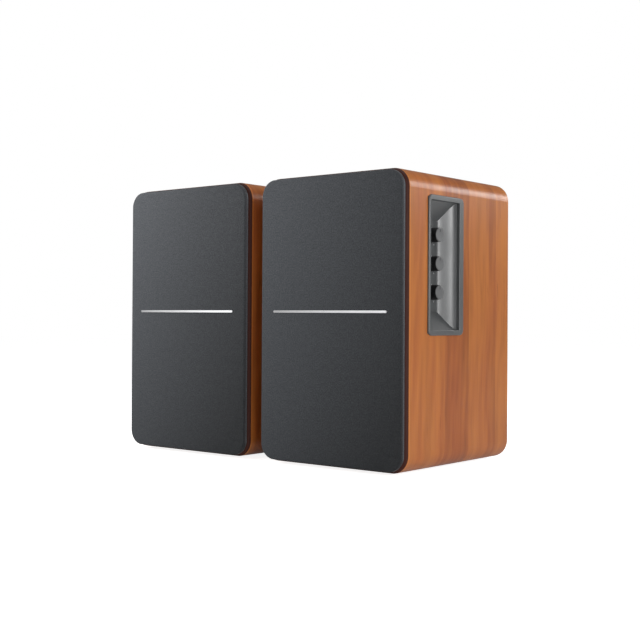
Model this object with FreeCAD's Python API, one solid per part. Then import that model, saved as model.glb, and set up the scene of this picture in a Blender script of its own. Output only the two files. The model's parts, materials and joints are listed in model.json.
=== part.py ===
"""A pair of powered two-way desktop speakers, modelled in millimetres.

Each speaker is first built in its own frame: X = 0 on its centre line, Y = 0 at the front face
of the cabinet with +Y towards the back, and Z = 0 under the cabinet. place() then stands the
passive speaker on the left and the active speaker on the right. The row's origin is the middle
of the whole pair's footprint, at the underside of the rubber feet.
"""

import FreeCAD, Part
import math
import os

Vector = FreeCAD.Vector

# ---------------------------------------------------------------- cabinet
wall = 12.0                 # board thickness of the wrapped cabinet sides
side_margin = 7.0           # baffle left beside the woofer
corner_radius = 15.0        # outer corners, seen from the front
inner_corner_radius = 3.0
front_edge_radius = 4.0     # rounding of the wrap's front edge
rear_edge_radius = 1.2
cabinet_depth = 152.0
baffle_thickness = 12.0
rear_board = 10.0
rear_recess = 1.0           # rear board's set-back behind the wrap
pair_pitch = 162.0          # centre distance of the two cabinets
over = 1.0                  # how far every cutter runs past the face that it cuts
round_end = 0.01            # how much less than half a slot's height its end radius is
round_handle = 0.5523       # handle length of a Bezier quarter round, over its radius

# ---------------------------------------------------------------- baffle layout, from the bottom up
bottom_margin = 5.0
port_gap = 4.0
driver_gap = 6.0
top_margin = 7.0

# ---------------------------------------------------------------- woofer
woofer_diameter = 108.0
woofer_flange = 2.5         # thickness of the stamped flange
woofer_sink = 3.0           # flange front below the baffle face
flange_width = 8.0
basket_depth = 34.0         # flange back to the motor seat
basket_sheet = 1.5
motor_seat_radius = 24.0
basket_windows = 6
basket_arm = 12.0           # metal left between two windows
basket_neck = 5.0           # straight part of the wall behind the flange
basket_clear = 0.3          # wall inside the baffle's hole
coil_clear = 1.5            # seat's bore outside the magnetic gap
surround_lip = 3.0           # glued to the flange
surround_clear = 1.0         # roll inside the flange's inner edge
surround_roll = 3.1         # height of the half roll
surround_width = 6.5
surround_skin = 0.8
surround_seat = 1.6         # cone's rim behind the flange and the skin
cone_thickness = 0.9
cone_lip = 2.5
coil_radius = 10.0
coil_wall = 0.8
coil_gap = 0.5              # magnetic gap clearance on each side
coil_reach = 7.0            # how far the coil dips into the motor
cone_neck_lead = 13.0       # where the cone meets the coil, in front of the motor
cone_root = 1.26            # thickness of the cone's glued root on the coil
top_plate = 4.0
magnet_radius = 35.0
magnet_bore = 6.0           # ring magnet's hole outside the magnetic gap
magnet_height = 12.0
magnet_step = 4.0           # steel plates set in from the magnet's rim
yoke_plate = 4.0
yoke_bevel = 2.0
dust_cap_radius = 15.0
dust_cap_rise = 4.5
spider_radius = 27.0
spider_skin = 0.6
spider_dish = 2.4            # coil end behind the ledge
spider_land = 2.0
spider_pleats = 4
spider_wave = 0.9
basket_ledge = 3.0          # step that the spider is glued to
ledge_depth = 11.0           # ledge in front of the motor

# ---------------------------------------------------------------- tweeter
tweeter_diameter = 52.0
tweeter_plate = 3.0
tweeter_sink = 0.5
dome_radius = 6.5
dome_rise = 2.6
dome_skin = 0.4
dome_gap = 0.4
dome_lift = 0.5              # dome's edge in front of the motor
dome_seat = 0.25             # surround outside the dome's edge
tweeter_throat = 9.0
tweeter_throat_land = 0.8    # straight part of the horn's throat
tweeter_flare = 20.0
horn_bow_out = 4.0           # the horn's curve passes here, outside the throat
horn_bow_depth = 0.9
horn_lip = 0.3               # horn's outer edge below the plate's front
tweeter_edge = 0.6           # small bevels of the plate
tweeter_motor_radius = 15.0
tweeter_motor_depth = 14.0
tweeter_motor_clear = 1.0    # motor inside the baffle's hole
tweeter_pole_drop = 0.8
tweeter_coil_reach = 4.0
tweeter_coil_room = 2.0
tweeter_roll_clear = 0.3     # surround inside the throat
tweeter_roll_seat = 0.5      # surround's inner seat outside the coil's gap
tweeter_roll_skin = 0.3
tweeter_roll_rim = 0.5
tweeter_roll_height = 1.1

# ---------------------------------------------------------------- bass port
port_width = 72.0
port_height = 16.0
port_wall = 2.0
port_rim = 6.0
port_rim_thickness = 2.0
port_length = 62.0
port_mouth_radius = 1.96    # rounding of the port's mouth

# ---------------------------------------------------------------- grille
grille_inset = 1.6          # set in from the cabinet outline
grille_gap = 0.2            # behind the grille, over the cabinet face
grille_thickness = 3.8      # frame and cloth together
cloth = 0.5
grille_edge_radius = 1.4
grille_rail = 9.0
gusset = 2.0                # corner plates that carry the pegs
gusset_reach = 6.5
gusset_radius = 4.0
peg_collar = 2.0
grille_window_radius = 4.0
accent_bar_thickness = 1.5
accent_bar_height = 7.0
accent_bar_relief = 0.5     # the bar's thinned back, above and below it
accent_length = 115.0
accent_height = 1.9
accent_proud = 0.6
accent_above_middle = 6.7
peg_radius = 3.0
peg_length = 8.0
peg_clearance = 0.1
peg_inset = 9.0             # peg centre from the inside of the wrap
socket_wall = 1.5
socket_floor = 1.5

# ---------------------------------------------------------------- rear of both speakers
plate_margin = 5.0          # amplifier plate inside the wrap
plate_thickness = 2.0
plate_corner = 4.0
plate_lap = 9.0             # plate lying on the rear board round its cut-out
fin_count = 12
fin_thickness = 1.8
fin_depth = 9.0
fin_pitch = 7.6
fin_height = 62.0
fin_rise = 6.0              # fins' middle above the cabinet's middle
row_inset = 27.0            # sockets' and switch's rows inside the plate's ends
terminal_rise = 20.0        # passive speaker's terminals above its middle
jack_x = 27.0               # jacks, terminals, switch and gland across the active plate
terminal_x = -20.0
switch_x = -30.0
gland_x = 28.0
terminal_width = 54.0
terminal_height = 30.0
terminal_flange = 2.0
terminal_screw_inset = 3.3
terminal_depth = 8.0
terminal_corner = 3.0
terminal_throat = 9.0       # housing behind the flange
throat_inset_x = 7.0
throat_inset_z = 4.0
terminal_cheek = 3.0        # block outside a lever
terminal_block_low = 10.0   # block below and above the housing's middle
terminal_block_high = 9.0
slot_floor = 1.6            # lever slot's floor above the flange's back
slot_low = 4.5              # lever slot's bottom below the housing's middle
lever_axis_out = 4.0        # lever pivot above the flange face
lever_axis_up = -1.0        # lever pivot above the housing's middle
lever_width = 12.0
lever_pitch = 21.0
lever_clearance = 0.35
lever_pin_radius = 1.0
lever_pin_reach = 1.2
lever_pin_clearance = 0.06
lever_pin_end = 0.15        # play at each end of the pin
lever_corners = (           # (out of the board, up from the housing's middle)
    (2.3, -3.2), (6.8, -3.4), (8.8, 1.5), (12.0, 8.6), (11.1, 9.6), (6.6, 4.6), (2.3, 2.0),
)
wire_hole_radius = 1.6
wire_hole_depth = 5.0       # wire hole's floor inside the cabinet
wire_hole_drop = 7.4        # wire hole below the housing's middle
jack_radius = 4.15
jack_length = 9.0
jack_flange_radius = 6.5
jack_flange = 1.2
jack_bore = 1.7
jack_bore_floor = 1.0       # contact hole's floor over the plate
jack_pitch_x = 19.0
jack_pitch_z = 21.0
jack_tail = 6.0
jack_shank_radius = 3.0
switch_width = 15.0
switch_height = 21.0
switch_flange = 1.6
switch_wall = 1.6
switch_lip = 1.0            # bezel outside the switch's width
switch_corner = 1.5
switch_pocket_wall = 2.2    # above and below the rocker
switch_pocket_depth = 8.0
switch_body_depth = 14.0
rocker_clearance = 0.45
rocker_throw = 20.0         # degrees from off to on
rocker_pin_radius = 1.2
rocker_pin_reach = 0.8      # pin's end in the bezel
rocker_pin_room = 1.0
rocker_axis_depth = 1.0     # pivot behind the plate's face
rocker_crest = 2.4          # rocker's middle over its pivot
rocker_tip = 0.4            # rocker's ends inside its own length
rocker_side = 1.5           # rocker's ends, behind the pivot
rocker_belly = 5.0          # rocker's back, behind the pivot
rocker_belly_inset = 3.6
gland_radius = 8.0
gland_bevel = 1.2
gland_flange = 2.5
gland_bore = 3.5
gland_sleeve_radius = 5.5
gland_sleeve = 9.0

# ---------------------------------------------------------------- side control panel
panel_width = 50.0          # along the cabinet's depth
panel_length = 110.1
panel_front = 28.0          # panel's front edge behind the cabinet face
panel_top = 18.6            # panel's top edge below the cabinet top
panel_corner = 4.5
panel_proud = 1.5
panel_edge_radius = 0.9
panel_rim = 4.2             # frame above and below the pocket
panel_front_rim = 2.5
panel_rear_rim = 6.2
panel_rim_depth = 3.0
panel_skin = 2.5
panel_gap = 0.25            # tub inside the cabinet's cut-out
pocket_depth = 12.0
pocket_draft = 1.0
floor_width = 26.0          # flat part of the pocket's floor
end_slope = 14.6            # end walls lean in by this over the pocket's depth
ramp_foot = 4.6             # how far the ramp leaves the floor before it rises
ramp_head = 7.6             # how far it levels out before the rear rim
ramp_head_drop = 0.9
mouth_radius = 0.5          # rounding of the pocket's mouth
knob_radius = 6.0
knob_top_radius = 5.7
knob_length = 10.0
knob_lift = 0.4             # knob over the pocket floor
knob_pitch = 22.7
knob_rise = 1.75            # middle knob above the panel's middle
knob_row = 20.0             # knob axis behind the panel's front edge
knob_chamfer = 0.6
pointer_width = 0.9
pointer_depth = 0.5
pointer_start = 0.35        # pointer's inner end, over the cap's radius
shaft_radius = 3.0
shaft_clearance = 0.05
shaft_in_knob = 7.0
pot_size = 16.0
pot_depth = 8.0
pot_back_wall = 1.5         # behind the shaft's bore
shaft_foot = 0.5            # shaft's foot over the bore's floor
bush_start = 3.0            # bush's root inside the body
bush_radius = 4.5
board_thickness = 1.6
control_board_end = 4.0     # board beyond the outer potentiometers
control_board_side = 2.0

# ---------------------------------------------------------------- inner electrics
transformer_width = 46.0
transformer_depth = 34.0
transformer_height = 38.0
transformer_foot = 3.0
transformer_ear = 9.0       # foot plate beyond the core on each side
transformer_foot_inset = 4.0
core_inset = 6.0            # core inside the winding, front and back
winding_inset = 9.0         # winding inside the core, left and right
winding_end = 6.0           # winding inside the core, above and below
transformer_behind_woofer = 22.0
amp_board_width = 84.0
amp_board_height = 60.0
standoff_radius = 3.0
standoff_height = 8.0
standoff_inset = 5.0        # post's centre inside the board's edges
capacitor_places = (-26.0, -10.0)
capacitor_up = 12.0         # the big capacitors above the board's middle
chip_left = 8.0
chip_width = 26.0
chip_low = 16.0             # chip's lower edge below the board's middle
chip_height = 10.0
chip_thickness = 4.0
crossover_width = 50.0
crossover_height = 40.0
crossover_drop = 40.0       # board's middle below the cabinet's middle
film_capacitor_ends = (-14.0, 12.0)
film_capacitor_drop = 8.0
film_capacitor_sink = 0.5   # solder fillet into the board
coil_x = 8.0
coil_up = 8.0
choke_radius = 9.0
choke_height = 9.0
capacitor_radius = 6.0
capacitor_height = 14.0

# ---------------------------------------------------------------- feet and screws
foot_radius = 7.0
foot_height = 2.0
foot_inset_x = 34.0
foot_inset_y = 28.0
screw_head_radius = 2.8
screw_head = 1.5
screw_edge = 0.2             # head inside the woofer flange's rim
screw_shank_radius = 1.4
screw_shank = 7.0

# ---------------------------------------------------------------- worked out from the above
woofer_radius = woofer_diameter / 2
tweeter_radius = tweeter_diameter / 2
port_rim_height = port_height + 2 * port_rim
inner_width = woofer_diameter + 2 * side_margin
cabinet_width = inner_width + 2 * wall
inner_height = (bottom_margin + port_rim_height + port_gap + woofer_diameter
                + driver_gap + tweeter_diameter + top_margin)
cabinet_height = inner_height + 2 * wall
port_z = wall + bottom_margin + port_rim_height / 2
woofer_z = port_z + port_rim_height / 2 + port_gap + woofer_radius
tweeter_z = woofer_z + woofer_radius + driver_gap + tweeter_radius
middle_z = cabinet_height / 2
rear_face = cabinet_depth - rear_recess
plate_face = rear_face + plate_thickness
plate_width = inner_width - 2 * plate_margin
plate_height = inner_height - 2 * plate_margin
peg_x = inner_width / 2 - peg_inset
peg_low = wall + peg_inset
peg_high = cabinet_height - wall - peg_inset
grille_back = -grille_gap
grille_front = grille_back - grille_thickness
flange_back = woofer_sink + woofer_flange
motor_face = flange_back + basket_depth
cone_front = woofer_sink + surround_skin + surround_seat
surround_outer = woofer_radius - flange_width - surround_clear
surround_inner = surround_outer - surround_width
side_face = cabinet_width / 2
pocket_floor = side_face - pocket_depth
panel_z = cabinet_height - panel_top - panel_length / 2
knob_y = panel_front + knob_row
knob_end = pocket_floor + knob_lift + knob_length
lever_tip = max(out for out, up in lever_corners)
upper_row = cabinet_height - wall - plate_margin - row_inset
fin_z = middle_z + fin_rise
lower_row = wall + plate_margin + row_inset
left_terminal_z = middle_z + terminal_rise
rear_reach = max(plate_face + lever_tip, plate_face + fin_depth, plate_face + jack_length)
front_reach = grille_front - accent_proud
row_shift_y = -(front_reach + rear_reach) / 2


# ================================================================ small tools
def box(x0, x1, y0, y1, z0, z1):
    """A block between two corners."""
    return Part.makeBox(x1 - x0, y1 - y0, z1 - z0, Vector(x0, y0, z0))


def rod(radius, start, end):
    """A round bar between two points."""
    a, b = Vector(*start), Vector(*end)
    return Part.makeCylinder(radius, (b - a).Length, a, b - a)


def slab(width, height, radius, y0, y1, x=0.0, z=0.0):
    """A plate with rounded corners that stands in the XZ plane, centred on x, z."""
    plate = box(x - width / 2, x + width / 2, y0, y1, z - height / 2, z + height / 2)
    upright = [e for e in plate.Edges if abs(e.tangentAt(e.FirstParameter).y) > 0.99]
    return plate.makeFillet(radius, upright)


def slot(width, height, y0, y1, x=0.0, z=0.0):
    """A plate with full round ends that stands in the XZ plane, centred on x, z."""
    return slab(width, height, height / 2 - round_end, y0, y1, x, z)


def face_edges(shape, y):
    """The edges of a shape that lie in the plane at depth y."""
    return [e for e in shape.Edges
            if all(abs(p.y - y) < 1e-6 for p in e.discretize(4))]


def outline(points):
    """A closed wire in the XY plane. A point of two numbers ends a line. One of four ends an arc and
    gives the arc's middle first. One of six ends a Bezier curve and gives its two handles first."""
    edges = []
    last = Vector(points[0][0], points[0][1], 0)
    for point in list(points[1:]) + [points[0][:2]]:
        end = Vector(point[-2], point[-1], 0)
        if len(point) == 6:
            curve = Part.BezierCurve()
            curve.setPoles([last, Vector(point[0], point[1], 0), Vector(point[2], point[3], 0), end])
            edges.append(curve.toShape())
        elif len(point) == 4:
            edges.append(Part.Arc(last, Vector(point[0], point[1], 0), end).toShape())
        elif (end - last).Length > 1e-7:
            edges.append(Part.LineSegment(last, end).toShape())
        last = end
    return Part.Wire(edges)


def turned(points, x=0.0, z=0.0):
    """A ring or disc turned about the Y direction through x, z. The points are (radius, depth)."""
    face = Part.Face(outline(points))
    solid = face.revolve(Vector(0, 0, 0), Vector(0, 1, 0), 360)
    solid.translate(Vector(x, 0, z))
    return solid


def extruded_z(points, z0, z1):
    """A profile in the XY plane carried from z0 to z1."""
    face = Part.Face(outline(points))
    face.translate(Vector(0, 0, z0))
    return face.extrude(Vector(0, 0, z1 - z0))


def extruded_x(points, x0, x1):
    """A profile given as (depth, height) carried from x0 to x1."""
    wire = outline(points)
    wire.rotate(Vector(0, 0, 0), Vector(1, 1, 1), 120)   # X to Y, Y to Z
    face = Part.Face(wire)
    face.translate(Vector(x0, 0, 0))
    return face.extrude(Vector(x1 - x0, 0, 0))


def cap_middle(radius, crown, rise):
    """The middle of a round cap's arc, from its crown on the axis to its edge at radius."""
    sphere = (radius ** 2 + rise ** 2) / (2 * rise)
    half = math.asin(radius / sphere) / 2
    return sphere * math.sin(half), crown + sphere * (1 - math.cos(half))


def quarter(start, end, depth_first):
    """An outline point: the elliptical quarter turn from start to end, both (radius, depth)."""
    (r0, y0), (r1, y1) = start, end
    k = round_handle
    if depth_first:
        return r0, y0 + k * (y1 - y0), r1 - k * (r1 - r0), y1, r1, y1
    return r0 + k * (r1 - r0), y0, r1, y1 - k * (y1 - y0), r1, y1


def moved(shape, x=0.0, y=0.0, z=0.0):
    """A shifted copy."""
    copy = shape.copy()
    copy.translate(Vector(x, y, z))
    return copy


def grouped(shapes):
    """Several separate solids in one node."""
    return Part.makeCompound(shapes)


def around(count, radius, x, z, first=0.0):
    """Points on a circle in the XZ plane."""
    angles = [math.radians(first + 360.0 * i / count) for i in range(count)]
    return [(x + radius * math.cos(a), z + radius * math.sin(a)) for a in angles]


def screw(x, y, z, inwards=1):
    """A pan-head screw whose head sits on the plane at y."""
    head = rod(screw_head_radius, (x, y, z), (x, y - inwards * screw_head, z))
    return head.fuse(screw_hole(x, y, z, inwards))


def screw_hole(x, y, z, inwards=1):
    """The hole that a screw's shank fills."""
    return rod(screw_shank_radius, (x, y, z), (x, y + inwards * screw_shank, z))


# ================================================================ where the screws go
def woofer_screw_places():
    return around(4, woofer_radius - screw_head_radius - screw_edge, 0, woofer_z, 45)


def tweeter_screw_places():
    return around(3, (tweeter_flare + tweeter_radius) / 2, 0, tweeter_z, 90)


def plate_screw_places():
    dx = plate_width / 2 - plate_lap / 2
    dz = plate_height / 2 - plate_lap / 2
    return [(sx * dx, middle_z + row * dz) for sx in (-1, 1) for row in (-1, 0, 1)]


def terminal_screw_places(x, z):
    dx = terminal_width / 2 - terminal_screw_inset
    return [(x - dx, z), (x + dx, z)]


# ================================================================ cabinet
def cabinet():
    """The wrapped box: four walls in one, rounded at its long corners and its front edge."""
    body = slab(cabinet_width, cabinet_height, corner_radius, 0, cabinet_depth, 0, middle_z)
    body = body.makeFillet(front_edge_radius, face_edges(body, 0))
    body = body.makeFillet(rear_edge_radius, face_edges(body, cabinet_depth))
    room = slab(inner_width, inner_height, inner_corner_radius, -over, cabinet_depth + over, 0,
                middle_z)
    return body.cut(room)


def cabinet_with_window():
    """The active speaker's box, cut through on one side for the control panel."""
    half = panel_length / 2 - panel_rim + panel_skin + panel_gap
    y0 = panel_front + panel_front_rim - panel_skin - panel_gap
    y1 = panel_front + panel_width - panel_rear_rim + panel_skin + panel_gap
    window = box(side_face - wall - over, side_face + over, y0, y1, panel_z - half, panel_z + half)
    return cabinet().cut(window)


def socket_outside():
    return peg_radius + peg_clearance + socket_wall


def peg_places():
    return [(sx * peg_x, z) for sx in (-1, 1) for z in (peg_low, peg_high)]


def front_baffle():
    """The front board, rebated for the woofer, tweeter and port and bored for the grille sockets."""
    board = slab(inner_width, inner_height, inner_corner_radius, 0, baffle_thickness, 0, middle_z)
    through = baffle_thickness + over
    cuts = [
        rod(woofer_radius, (0, -over, woofer_z), (0, flange_back, woofer_z)),
        rod(woofer_radius - flange_width, (0, 0, woofer_z), (0, through, woofer_z)),
        rod(tweeter_radius, (0, -over, tweeter_z), (0, tweeter_sink + tweeter_plate, tweeter_z)),
        rod(tweeter_motor_radius + tweeter_motor_clear, (0, 0, tweeter_z), (0, through, tweeter_z)),
        slot(port_width + 2 * port_rim, port_rim_height, -over, port_rim_thickness, 0, port_z),
        slot(port_width + 2 * port_wall, port_height + 2 * port_wall, 0, through, 0, port_z),
    ]
    cuts += [rod(socket_outside(), (x, -over, z), (x, peg_length + socket_floor, z))
             for x, z in peg_places()]
    cuts += [screw_hole(x, flange_back, z) for x, z in woofer_screw_places()]
    cuts += [screw_hole(x, tweeter_sink + tweeter_plate, z) for x, z in tweeter_screw_places()]
    return board.cut(cuts)


def grille_sockets():
    """The four cups in the baffle that grip the grille's pegs."""
    depth = peg_length + socket_floor
    cups = []
    for x, z in peg_places():
        cup = rod(socket_outside(), (x, 0, z), (x, depth, z))
        bore = rod(peg_radius + peg_clearance, (x, -over, z), (x, peg_length, z))
        cups.append(cup.cut(bore))
    return cups


def rear_panel_passive():
    """The plain rear board, cut for the terminal housing."""
    board = slab(inner_width, inner_height, inner_corner_radius, rear_face - rear_board,
                 rear_face, 0, middle_z)
    throat = terminal_throat_block(0, left_terminal_z, rear_face)
    screws = [screw_hole(x, rear_face, z, -1)
              for x, z in terminal_screw_places(0, left_terminal_z)]
    return board.cut([throat] + screws)


def rear_panel_active():
    """The rear board as a frame round the amplifier plate's cut-out."""
    board = slab(inner_width, inner_height, inner_corner_radius, rear_face - rear_board,
                 rear_face, 0, middle_z)
    hole = slab(plate_width - 2 * plate_lap, plate_height - 2 * plate_lap, inner_corner_radius,
                rear_face - rear_board - over, rear_face + over, 0, middle_z)
    screws = [screw_hole(x, rear_face, z, -1) for x, z in plate_screw_places()]
    return board.cut([hole] + screws)


def rubber_feet():
    """Four thin pads under one cabinet."""
    x = cabinet_width / 2 - foot_inset_x
    ys = (foot_inset_y, cabinet_depth - foot_inset_y)
    return [rod(foot_radius, (sx * x, y, -foot_height), (sx * x, y, 0))
            for sx in (-1, 1) for y in ys]


# ================================================================ woofer
def woofer_basket():
    """A stamped frame: flange, windowed wall, the spider's ledge and the motor's seat."""
    t = basket_sheet
    inner = woofer_radius - flange_width
    wall_out = inner - basket_clear
    bore = coil_radius + coil_wall + coil_gap + coil_clear
    ledge = motor_face - ledge_depth
    step = spider_radius + basket_ledge
    points = [
        (woofer_radius, woofer_sink), (woofer_radius, flange_back), (wall_out, flange_back),
        (wall_out, flange_back + basket_neck), (step + t, ledge), (step + t, ledge + t),
        (motor_seat_radius + t, ledge + t), (motor_seat_radius + t, motor_face),
        (bore, motor_face), (bore, motor_face - t), (motor_seat_radius, motor_face - t),
        (motor_seat_radius, ledge), (step, ledge), (wall_out - t, flange_back + basket_neck),
        (wall_out - t, woofer_sink),
    ]
    basket = turned(points, 0, woofer_z)
    width = 2 * math.pi * step / basket_windows - basket_arm
    cuts = [screw_hole(x, woofer_sink, z) for x, z in woofer_screw_places()]
    for i in range(basket_windows):
        window = box(0, woofer_radius, flange_back + basket_neck + t, ledge - t,
                     -width / 2, width / 2)
        window.rotate(Vector(0, 0, 0), Vector(0, 1, 0), 360.0 * i / basket_windows)
        cuts.append(moved(window, 0, 0, woofer_z))
    return basket.cut(cuts)


def woofer_motor():
    """Top plate, ring magnet and yoke with its pole, round the voice coil's gap."""
    gap_in = coil_radius - coil_gap
    gap_out = coil_radius + coil_wall + coil_gap
    ring_in = gap_out + magnet_bore
    steel = magnet_radius - magnet_step
    front = motor_face
    plate_back = front + top_plate
    ring_back = plate_back + magnet_height
    back = ring_back + yoke_plate
    points = [
        (0, front), (gap_in, front), (gap_in, ring_back), (ring_in, ring_back),
        (ring_in, plate_back), (gap_out, plate_back), (gap_out, front),
        (steel, front), (steel, plate_back), (magnet_radius, plate_back),
        (magnet_radius, ring_back), (steel, ring_back), (steel - yoke_bevel, back),
        (0, back),
    ]
    return turned(points, 0, woofer_z)


def woofer_surround():
    """The rubber half roll between the flange and the cone."""
    t = surround_skin
    y_out, y_in = woofer_sink, cone_front
    crest_r = (surround_outer + surround_inner) / 2
    crest_y = woofer_sink - surround_roll
    inside = (crest_r, crest_y + t)
    outside = (crest_r, crest_y)
    points = [
        (surround_outer + surround_lip, y_out), (surround_outer - t, y_out),
        quarter((surround_outer - t, y_out), inside, True),
        quarter(inside, (surround_inner + t, y_in), False),
        (surround_inner - cone_lip, y_in), (surround_inner - cone_lip, y_in - t),
        (surround_inner, y_in - t),
        quarter((surround_inner, y_in - t), outside, True),
        quarter(outside, (surround_outer, y_out - t), False),
        (surround_outer + surround_lip, y_out - t),
    ]
    return turned(points, 0, woofer_z)


def cone_neck():
    """Depth at which the cone meets the voice coil."""
    return motor_face - cone_neck_lead


def cone_front_line():
    """The two ends, as (radius, depth), of the straight front of the cone."""
    return ((surround_inner - cone_lip, cone_front),
            (coil_radius + coil_wall, cone_neck()))


def woofer_cone():
    """The paper cone with its glued lip, and the voice coil that reaches into the motor."""
    t = cone_thickness
    (lip, y_rim), (r_out, neck) = cone_front_line()
    r_in = coil_radius
    points = [
        (surround_inner, y_rim), (surround_inner, y_rim + t), (lip, y_rim + t),
        (r_out, neck + cone_root), (r_out, motor_face + coil_reach),
        (r_in, motor_face + coil_reach), (r_in, neck), (r_out, neck), (lip, y_rim),
    ]
    return turned(points, 0, woofer_z)


def cone_depth_at(radius):
    """Depth of the cone's front face at a radius."""
    (r0, y0), (r1, y1) = cone_front_line()
    return y0 + (y1 - y0) * (radius - r0) / (r1 - r0)


def dust_cap():
    """The domed cap glued over the middle of the cone."""
    r, t = dust_cap_radius, cone_thickness
    seat = cone_depth_at(r)
    crown = seat - dust_cap_rise
    inner = r - t
    points = [
        (0, crown - t), (*cap_middle(r, crown - t, dust_cap_rise), r, seat - t),
        (r, seat), (inner, seat),
        (*cap_middle(inner, crown, dust_cap_rise), 0, crown),
    ]
    return turned(points, 0, woofer_z)


def spider():
    """The corrugated disc that centres the voice coil, from the basket's ledge in to the coil."""
    t = spider_skin
    inner = coil_radius + coil_wall
    ledge = motor_face - ledge_depth
    seat = ledge + spider_dish
    start, end = inner + spider_land, spider_radius - spider_land
    step = (end - start) / (2 * spider_pleats)
    front = [(inner, seat - t), (start, seat - t)]
    for i in range(1, 2 * spider_pleats):
        slope = seat - spider_dish * i / (2 * spider_pleats)
        wave = spider_wave if i % 2 else -spider_wave
        front.append((start + step * i, slope - t - wave))
    front += [(end, ledge - t), (spider_radius + basket_ledge, ledge - t)]
    back = [(r, y + t) for r, y in reversed(front)]
    return turned(front + back, 0, woofer_z)


# ================================================================ tweeter
def tweeter_faceplate():
    """The round plate with its shallow horn."""
    front = tweeter_sink
    back = tweeter_sink + tweeter_plate
    points = [
        (tweeter_radius, front + tweeter_edge), (tweeter_radius, back), (tweeter_throat, back),
        (tweeter_throat, back - tweeter_throat_land),
        (tweeter_throat + horn_bow_out, front + horn_bow_depth, tweeter_flare, front + horn_lip),
        (tweeter_flare + tweeter_edge, front), (tweeter_radius - tweeter_edge, front),
    ]
    plate = turned(points, 0, tweeter_z)
    return plate.cut([screw_hole(x, front, z) for x, z in tweeter_screw_places()])


def tweeter_motor():
    """The small magnet can behind the faceplate, open round the dome's coil."""
    face = tweeter_sink + tweeter_plate
    gap_in = dome_radius - dome_skin - dome_gap
    gap_out = dome_radius + dome_gap
    pole = face + tweeter_pole_drop
    gap_floor = face + tweeter_coil_reach + tweeter_coil_room
    points = [
        (0, pole), (gap_in, pole), (gap_in, gap_floor), (gap_out, gap_floor), (gap_out, face),
        (tweeter_motor_radius, face), (tweeter_motor_radius, face + tweeter_motor_depth),
        (0, face + tweeter_motor_depth),
    ]
    return turned(points, 0, tweeter_z)


def tweeter_dome():
    """The silk dome with its coil former."""
    face = tweeter_sink + tweeter_plate
    r, t = dome_radius, dome_skin
    base = face - dome_lift
    crown = base - dome_rise
    back = face + tweeter_coil_reach
    points = [
        (0, crown), (*cap_middle(r, crown, dome_rise), r, base), (r, back), (r - t, back),
        (r - t, base + t),
        (*cap_middle(r - t, crown + t, dome_rise), 0, crown + t),
    ]
    return turned(points, 0, tweeter_z)


def tweeter_surround():
    """The dome's narrow half roll, glued to the motor's front plate."""
    face = tweeter_sink + tweeter_plate
    inner, outer = dome_radius + dome_seat, tweeter_throat - tweeter_roll_clear
    seat = dome_radius + dome_gap + tweeter_roll_seat
    skin = tweeter_roll_skin
    points = [
        (outer, face), (seat, face), (seat, face - skin), (inner, face - skin),
        (inner, face - 2 * skin),
        ((inner + outer) / 2, face - tweeter_roll_height, outer, face - tweeter_roll_rim),
    ]
    return turned(points, 0, tweeter_z)


# ================================================================ bass port
def port_tube():
    """The flared slot port: rim, flare and a flat tube into the cabinet."""
    rim = slot(port_width + 2 * port_rim, port_rim_height, 0, port_rim_thickness, 0, port_z)
    tube = slot(port_width + 2 * port_wall, port_height + 2 * port_wall, 0, port_length, 0, port_z)
    bore = slot(port_width, port_height, -over, port_length + over, 0, port_z)
    body = rim.fuse(tube).removeSplitter().cut(bore)
    reach_x = port_width / 2 + port_wall
    reach_z = port_height / 2 + port_wall
    mouth = [e for e in face_edges(body, 0)
             if e.BoundBox.XMax < reach_x and e.BoundBox.XMin > -reach_x
             and abs(e.CenterOfMass.z - port_z) < reach_z]
    return body.makeFillet(port_mouth_radius, mouth)


# ================================================================ grille
def grille_outline(grow):
    """Width, height and corner radius of the grille, grown by a margin."""
    margin = grille_inset - grow
    return cabinet_width - 2 * margin, cabinet_height - 2 * margin, corner_radius - margin


def grille_frame():
    """The moulded frame: a rail round the edge, two cross bars and four pegs."""
    width, height, radius = grille_outline(-cloth)
    front = grille_front + cloth
    frame = slab(width, height, radius, front, grille_back, 0, middle_z)
    accent_z = middle_z + accent_above_middle
    bar_z = woofer_z + woofer_radius + driver_gap / 2
    inside = width / 2 - grille_rail
    low, high = middle_z - height / 2 + grille_rail, middle_z + height / 2 - grille_rail
    half = accent_bar_height / 2
    cuts = []
    for z0, z1 in ((low, accent_z - half), (accent_z + half, bar_z - half), (bar_z + half, high)):
        hole = slab(2 * inside, z1 - z0, grille_window_radius, front - over, grille_back + over, 0,
                    (z0 + z1) / 2)
        cuts.append(hole)
    cuts.append(box(-inside, inside, front + accent_bar_thickness, grille_back + over,
                    accent_z - half - accent_bar_relief, accent_z + half + accent_bar_relief))
    frame = frame.cut(cuts)
    pegs = [rod(peg_radius, (x, front + gusset, z), (x, grille_back + peg_length, z))
            for x, z in peg_places()]
    return frame.fuse(grille_gussets(width, height, radius)).fuse(pegs).removeSplitter()


def grille_gussets(width, height, radius):
    """A rounded plate in each corner of the frame, which carries that corner's peg."""
    front = grille_front + cloth
    plates = []
    for x, z in peg_places():
        x_out = math.copysign(width / 2 - radius / 2, x)
        z_out = middle_z + math.copysign(height / 2 - radius / 2, z - middle_z)
        x_in, z_in = x - math.copysign(gusset_reach, x), z - math.copysign(gusset_reach, z - middle_z)
        plates.append(slab(abs(x_out - x_in), abs(z_out - z_in), gusset_radius, front,
                           front + gusset, (x_out + x_in) / 2, (z_out + z_in) / 2))
        plates.append(rod(peg_radius + peg_collar, (x, front, z), (x, grille_back, z)))
    return plates


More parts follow.
